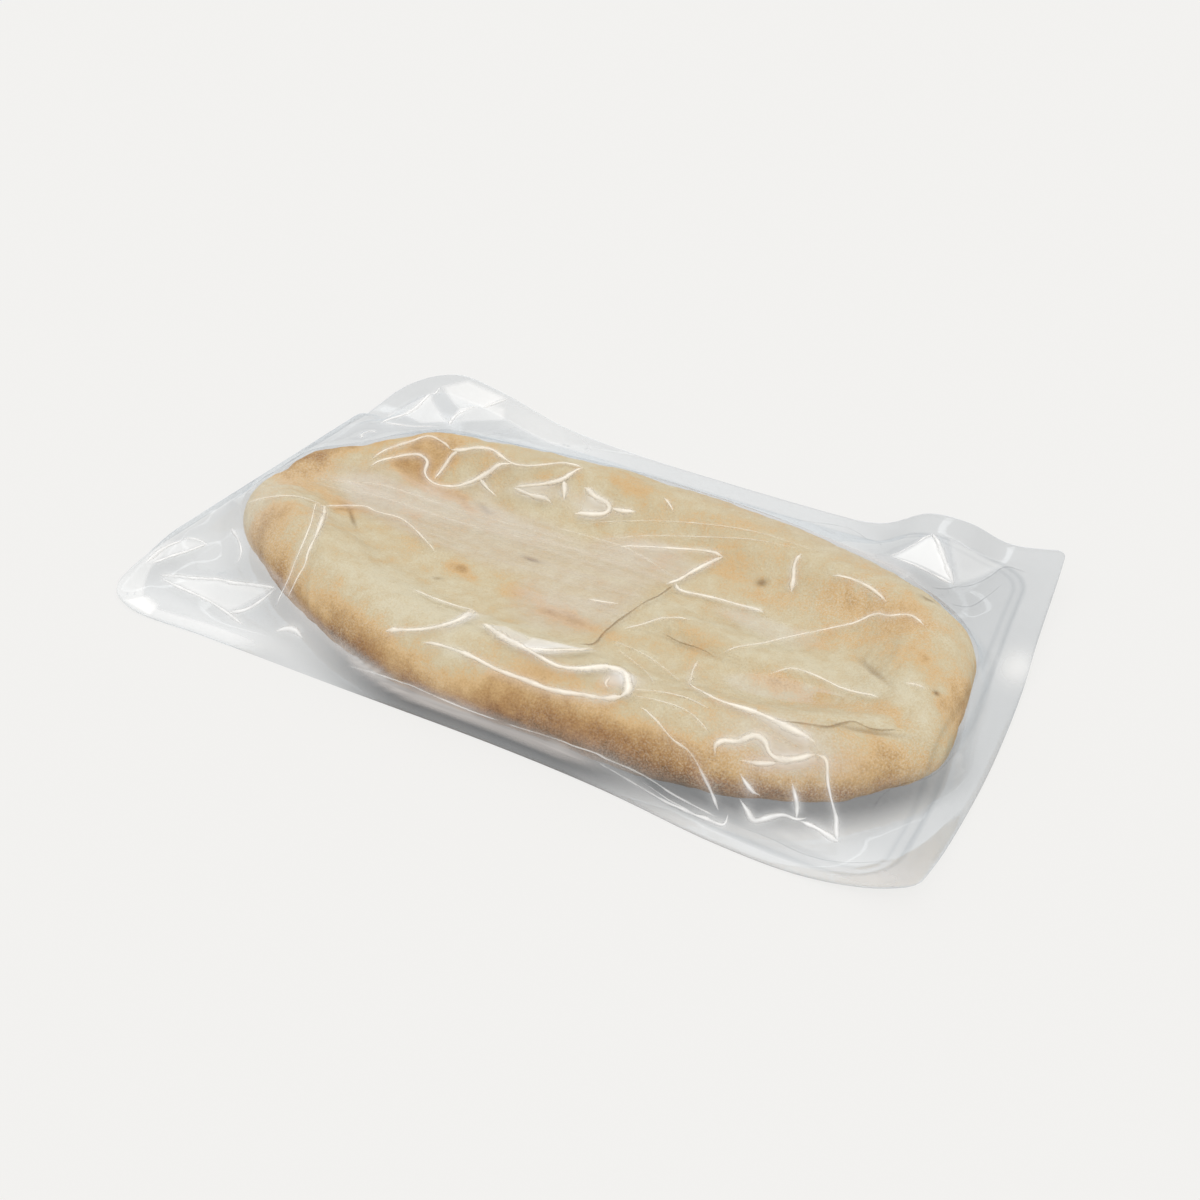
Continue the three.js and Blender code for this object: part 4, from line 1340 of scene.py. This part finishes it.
def clear_material():
    """Undersides of ridges, which lie in the film."""
    material, tree = empty_material("hidden")
    surface(tree, node(tree, "ShaderNodeBsdfTransparent"))
    return material


def floor_material(stage):
    """Pale light table: matte, and lit from below."""
    material, tree = empty_material("floor")
    matte = node(tree, "ShaderNodeBsdfDiffuse", {"Color": rgba(stage.floor_colour)})
    lit = node(tree, "ShaderNodeEmission", {"Color": rgba(stage.floor_light)})
    surface(tree, mixed_shader(tree, stage.floor_glow, matte, lit))
    return material


# Settings


def length_property(name, description, default):
    return bpy.props.FloatProperty(
        name=name,
        description=description,
        default=default,
        min=0.0,
        unit="LENGTH",
        subtype="DISTANCE",
        precision=5,
    )


def amount_property(name, description, default, least=0.0):
    return bpy.props.FloatProperty(name=name, description=description, default=default, min=least)


def angle_property(name, description, degrees):
    return bpy.props.FloatProperty(
        name=name, description=description, default=math.radians(degrees), subtype="ANGLE"
    )


def colour_property(name, description, default):
    return bpy.props.FloatVectorProperty(
        name=name, description=description, default=default, size=3, min=0.0, max=1.0, subtype="COLOR"
    )


def share_property(name, description, default):
    return bpy.props.FloatProperty(
        name=name, description=description, default=default, min=0.0, max=1.0, subtype="FACTOR"
    )


class PinsaBreadSettings(bpy.types.PropertyGroup):
    """Sizes and colours of the bread"""

    half_length: length_property("Half length", "From the bread's centre to its end", 0.176)
    half_width: length_property("Half width", "From the bread's centre to its long side", 0.086)
    rim_height: length_property("Rim height", "Height of the rim's crest", 0.025)
    middle_height: length_property("Middle height", "Height of the dimpled middle", 0.0175)
    belly_height: length_property("Belly height", "Height at which the bread is widest", 0.009)
    pale: colour_property("Pale crust", "Least baked crust", (0.73, 0.64, 0.45))
    cream: colour_property("Cream crust", "Most of the crust", (0.67, 0.54, 0.335))
    golden: colour_property("Golden crust", "Baked patches", (0.72, 0.482, 0.24))
    orange: colour_property("Orange crust", "Middle of baked patches", (0.62, 0.40, 0.185))
    toasted: colour_property("Toasted crust", "Well baked patches", (0.51, 0.30, 0.125))
    brown: colour_property("Brown crust", "Well baked rim", (0.36, 0.185, 0.075))
    dark: colour_property("Dark crust", "Marks and the darkest edge", (0.20, 0.105, 0.036))
    flour: colour_property("Flour", "Flour on the crust", (0.80, 0.72, 0.57))


class PinsaPouchSettings(bpy.types.PropertyGroup):
    """Sizes and colours of the film pouch"""

    seal_left: length_property("Left seal", "Width of the sealed margin on the left", 0.012)
    seal_right: length_property("Right seal", "Width of the sealed margin on the right", 0.014)
    seal_near: length_property("Near seal", "Width of the sealed margin on the near side", 0.007)
    seal_far: length_property("Far seal", "Width of the sealed margin on the far side", 0.014)
    film_gap: length_property("Film gap", "Between the two films in the margin", 0.00015)
    suction: amount_property("Suction", "Curvature of film that hangs free, per metre", 110.0)
    film_tint: colour_property("Film tint", "What the upper film lets through", (0.925, 0.933, 0.94))
    # Painted shadow: tints the lower film dark at the bread's foot and in the margin
    painted_shadow_tint: colour_property("Lower film tint", "What the lower film lets through", (0.16, 0.165, 0.17))
    line_tint: colour_property("Line tint", "What the seal's inner line lets through", (0.74, 0.76, 0.78))
    # Colour of the film's haze, and of the painted reflection in the haze round the bread's foot
    haze_and_reflection_colour: colour_property("Haze colour", "Hazy film that stands off the bread", (0.76, 0.69, 0.64))
    # White of the seal's milk and of the painted highlights on creases, facets and patches
    milk_and_highlight_colour: colour_property("White film", "Milky seal and whitened creases", (0.97, 0.96, 0.94))
    # Colour of the painted glints on creases over the bread
    painted_glint_colour: colour_property("Crease colour", "Whitened creases over the bread", (0.97, 0.89, 0.75))
    # Painted shade along folds, over the bread and in the margin
    painted_fold_shade: colour_property("Fold tint", "What a dark fold lets through", (0.45, 0.36, 0.28))
    painted_margin_fold_shade: colour_property("Margin fold tint", "What the margin's folds pass", (0.50, 0.51, 0.53))
    gloss_tint: colour_property("Gloss tint", "Cast of the film's reflections", (0.95, 0.98, 1.0))
    haze: share_property("Haze", "Haze of film that stands off the bread", 0.36)
    seal_haze: share_property("Seal haze", "Milkiness of the sealed margin", 0.55)
    # Whiteness of the painted glint on a crease
    painted_glint_whiteness: share_property("Crease whiteness", "Whiteness of film pinched in a crease", 0.92)
    # Painted highlight beside a crease
    painted_crease_glint: share_property("Crease glow", "Whitening beside a crease", 0.30)
    gloss_roughness: share_property("Gloss roughness", "Roughness of the film's reflections", 0.06)


class PinsaStageSettings(bpy.types.PropertyGroup):
    """Floor, light and camera"""

    floor_colour: colour_property("Floor colour", "Pale floor", (0.745, 0.738, 0.725))
    floor_light: colour_property("Floor light", "Light from below the floor", (0.896, 0.888, 0.871))
    floor_glow: share_property("Floor glow", "Share of the floor's light that comes from below", 0.8)
    camera_target: bpy.props.FloatVectorProperty(
        name="Camera target",
        description="Point that the camera looks at",
        default=(0.01228, -0.0169, 0.01),
        size=3,
        subtype="XYZ",
        unit="LENGTH",
    )
    camera_distance: length_property("Camera distance", "From the camera to its target", 0.64773)
    camera_azimuth: angle_property("Camera azimuth", "Turn of the camera to the right", 29.943)
    camera_elevation: angle_property("Camera elevation", "Height of the camera as an angle", 36.0)
    lens: amount_property("Lens", "Focal length in millimetres on a 36 mm frame", 45.0, least=1.0)
    sky: amount_property("Sky", "Light from all round", 0.95)
    key: amount_property("Key", "Light of the soft key lamp", 0.9)
    strip: amount_property("Strip", "Glare of the strip lamp", 1.1)


# Operators


def frame_shift(sheet):
    """From the sheet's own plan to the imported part's frame, in millimetres."""
    low, high = (np.array(corner[:2]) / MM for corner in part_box("pouch"))
    plan = sheet[..., :2].reshape(-1, 2)
    return np.append((low + high) / 2 - (plan.min(0) + plan.max(0)) / 2, 0.0)


def settle(piece):
    """Puts a piece in the pouch's place."""
    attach(piece, "root")
    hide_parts("pouch")


def toward(stage, turn, height):
    """Direction at a turn round the object from behind it and a height, as angles."""
    around, level = turn - stage.camera_azimuth, math.cos(height)
    return Vector((math.sin(around) * level, math.cos(around) * level, math.sin(height)))


class PINSA_OT_bread(bpy.types.Operator):
    """Makes the par-baked bread"""

    bl_idname = "pinsa.bread"
    bl_label = "Bread"

    def execute(self, context):
        bread = context.scene.pinsa_bread
        x, y, z, inside = bread_points(bread)
        points = np.stack([x, y, z], 2)
        lumps = crumb_noise(x, y, z) * ease(z, BREAD_FOOT, LUMP_FOOT)
        skin = points + grid_normals(points) * lumps[..., None]
        rows, columns = x.shape
        shift = frame_shift(pouch_sheet(FILM_CELLS))
        vertices = skin.reshape(-1, 3) + shift
        faces = grid_faces(columns, rows)
        middle = len(vertices)
        loop = border_loop(columns, rows)
        vertices = np.concatenate([vertices, [[*BREAD_CENTRE, BREAD_FOOT] + shift]])
        faces += [[middle, int(b), int(a)] for a, b in zip(loop, np.roll(loop, -1))]
        flour = EVEN_FLOUR + swell_sum(FLOUR, x, y) + noise_sum(UNEVEN_FLOUR, x, y + z)
        attributes = {
            "browning": np.append(browning_at(x, y, z, inside), UNDERSIDE_BAKE),
            "flour": np.append(np.clip(flour, 0, 1), UNDERSIDE_FLOUR),
            "mark": np.append(np.clip(swell_sum(MARKS, x, y), 0, 1), 0.0),
        }
        piece = add_piece("bread", vertices, faces, attributes, (crust_material(bread),))
        settle(piece)
        return {"FINISHED"}


class PINSA_OT_film(bpy.types.Operator):
    """Makes the clear film pouch, drawn down over the bread"""

    bl_idname = "pinsa.film"
    bl_label = "Film pouch"

    def execute(self, context):
        bread, pouch = context.scene.pinsa_bread, context.scene.pinsa_pouch
        sheet = pouch_sheet(FILM_CELLS)
        chamber = inside_seal(pouch, FILM_CELLS)
        film, crust, glow = film_heights(bread, pouch, sheet, chamber)
        masks = film_masks(bread, sheet, chamber, film, crust, glow)
        x, y, lift = sheet[..., 0], sheet[..., 1], sheet[..., 2]
        coarse = np.s_[::LOWER_FILM_STRIDE, ::LOWER_FILM_STRIDE]
        upper = np.stack([x, y, film], 2)
        lower = np.stack([x, y, under_height(bread, x, y, lift)], 2)[coarse]
        points, faces = joined_films(upper, lower)
        # The lower film carries the painted shadow
        below = {"lower": painted_shade_under_film(bread, x, y), "bare": masks["bare"]}
        attributes = {
            name: np.append(mask, below.get(name, np.zeros_like(x))[coarse])
            for name, mask in masks.items()
        }
        shift = frame_shift(sheet)
        piece = add_piece("film", points + shift, faces, attributes, (film_material(pouch),))
        settle(piece)
        self.ridges(bread, pouch, upper + shift, shift)
        return {"FINISHED"}

    def ridges(self, bread, pouch, upper, shift):
        """Adds the creases and the folds along the upper film."""
        rows, columns = upper.shape[:2]
        film_tree = BVHTree.FromPolygons(upper.reshape(-1, 3).tolist(), grid_faces(columns, rows))
        hidden = clear_material()
        for name, creases, finish in (
            ("creases", CREASES, crease_material(pouch)),
            ("folds", DARK_FOLDS, fold_material(pouch)),
        ):
            points, faces, attributes, finishes = pinched_ridges(bread, creases, film_tree, shift)
            piece = add_piece(name, points, faces, attributes, (finish, hidden), finishes)
            piece.visible_shadow = False
            settle(piece)


class PINSA_OT_stage(bpy.types.Operator):
    """Makes the floor, the lights and the camera"""

    bl_idname = "pinsa.stage"
    bl_label = "Stage"

    def execute(self, context):
        scene = context.scene
        stage = scene.pinsa_stage
        self.floor(scene, stage)
        self.sky(scene, stage)
        self.lamps(scene, stage)
        self.camera(scene, stage)
        scene.view_settings.view_transform = "Standard"
        return {"FINISHED"}

    def floor(self, scene, stage):
        mesh = bpy.data.meshes.new("floor")
        sides = ((-1, -1), (1, -1), (1, 1), (-1, 1))
        corners = [(x * FLOOR_HALF, y * FLOOR_HALF, FLOOR_HEIGHT) for x, y in sides]
        mesh.from_pydata(corners, [], [(0, 1, 2, 3)])
        mesh.materials.append(floor_material(stage))
        floor = bpy.data.objects.new("floor", mesh)
        scene.collection.objects.link(floor)

    def sky(self, scene, stage):
        world = bpy.data.worlds.new("studio")
        scene.world = world
        world.use_nodes = True
        tree = world.node_tree
        tree.nodes.clear()
        direction = node(tree, "ShaderNodeTexCoord").outputs["Generated"]
        up = node(tree, "ShaderNodeSeparateXYZ", {0: direction}).outputs["Z"]
        dome = map_range(tree, up, (0.0, 1.0), (SKY_AT_HORIZON, 1.0))
        behind = toward(stage, 0.0, math.radians(GLOW_HEIGHT))
        facing = node(tree, "ShaderNodeVectorMath", {0: direction, 1: behind}, operation="DOT_PRODUCT")
        glow = map_range(tree, facing.outputs["Value"], (GLOW_EDGE, 1.0), (0.0, GLOW))
        light = math_node(tree, "MULTIPLY", math_node(tree, "ADD", dome, glow), stage.sky)
        light = node(tree, "ShaderNodeBackground", {"Color": (1.0, 1.0, 1.0, 1.0), "Strength": light})
        node(tree, "ShaderNodeOutputWorld", {"Surface": light.outputs[0]})

    def lamps(self, scene, stage):
        key = bpy.data.lights.new("key", "SUN")
        key.energy = stage.key
        key.angle = math.radians(KEY_SPREAD)
        self.place_lamp(scene, stage, key, KEY_PLACE).visible_glossy = False
        # A strip that only the film's gloss shows
        strip = bpy.data.lights.new("strip", "AREA")
        strip.shape = "RECTANGLE"
        strip.size, strip.size_y = STRIP_SIZE
        strip.energy = stage.strip * math.pi * STRIP_SIZE[0] * STRIP_SIZE[1]
        self.place_lamp(scene, stage, strip, STRIP_PLACE).visible_diffuse = False

    def place_lamp(self, scene, stage, data, place):
        """Puts a lamp in a direction, facing the object."""
        back = toward(stage, *(math.radians(angle) for angle in place))
        lamp = bpy.data.objects.new(data.name, data)
        lamp.location = back * LAMP_DISTANCE
        lamp.rotation_euler = back.to_track_quat("Z", "Y").to_euler()
        scene.collection.objects.link(lamp)
        return lamp

    def camera(self, scene, stage):
        data = bpy.data.cameras.new("camera")
        data.lens = stage.lens
        data.sensor_width = SENSOR_WIDTH
        camera = bpy.data.objects.new("camera", data)
        back = toward(stage, math.pi, stage.camera_elevation)
        camera.location = Vector(stage.camera_target) + back * stage.camera_distance
        camera.rotation_euler = back.to_track_quat("Z", "Y").to_euler()
        scene.collection.objects.link(camera)
        scene.camera = camera


class PINSA_PT_pack(bpy.types.Panel):
    """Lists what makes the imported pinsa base"""

    bl_idname = "PINSA_PT_pack"
    bl_label = "Packed pinsa base"
    bl_space_type = "VIEW_3D"
    bl_region_type = "UI"
    bl_category = "Pinsa"

    def draw(self, context):
        scene = context.scene
        for operator, settings in (
            (PINSA_OT_bread, scene.pinsa_bread),
            (PINSA_OT_film, scene.pinsa_pouch),
            (PINSA_OT_stage, scene.pinsa_stage),
        ):
            box = self.layout.box()
            box.operator(operator.bl_idname)
            for name in settings.__annotations__:
                box.prop(settings, name)


CLASSES = (
    PinsaBreadSettings,
    PinsaPouchSettings,
    PinsaStageSettings,
    PINSA_OT_bread,
    PINSA_OT_film,
    PINSA_OT_stage,
    PINSA_PT_pack,
)


def register():
    for cls in CLASSES:
        bpy.utils.register_class(cls)
    bpy.types.Scene.pinsa_bread = bpy.props.PointerProperty(type=PinsaBreadSettings)
    bpy.types.Scene.pinsa_pouch = bpy.props.PointerProperty(type=PinsaPouchSettings)
    bpy.types.Scene.pinsa_stage = bpy.props.PointerProperty(type=PinsaStageSettings)


def unregister():
    del bpy.types.Scene.pinsa_bread
    del bpy.types.Scene.pinsa_pouch
    del bpy.types.Scene.pinsa_stage
    for cls in reversed(CLASSES):
        bpy.utils.unregister_class(cls)


def main():
    register()
    bpy.ops.pinsa.bread()
    bpy.ops.pinsa.film()
    bpy.ops.pinsa.stage()


if __name__ == "__main__":
    main()
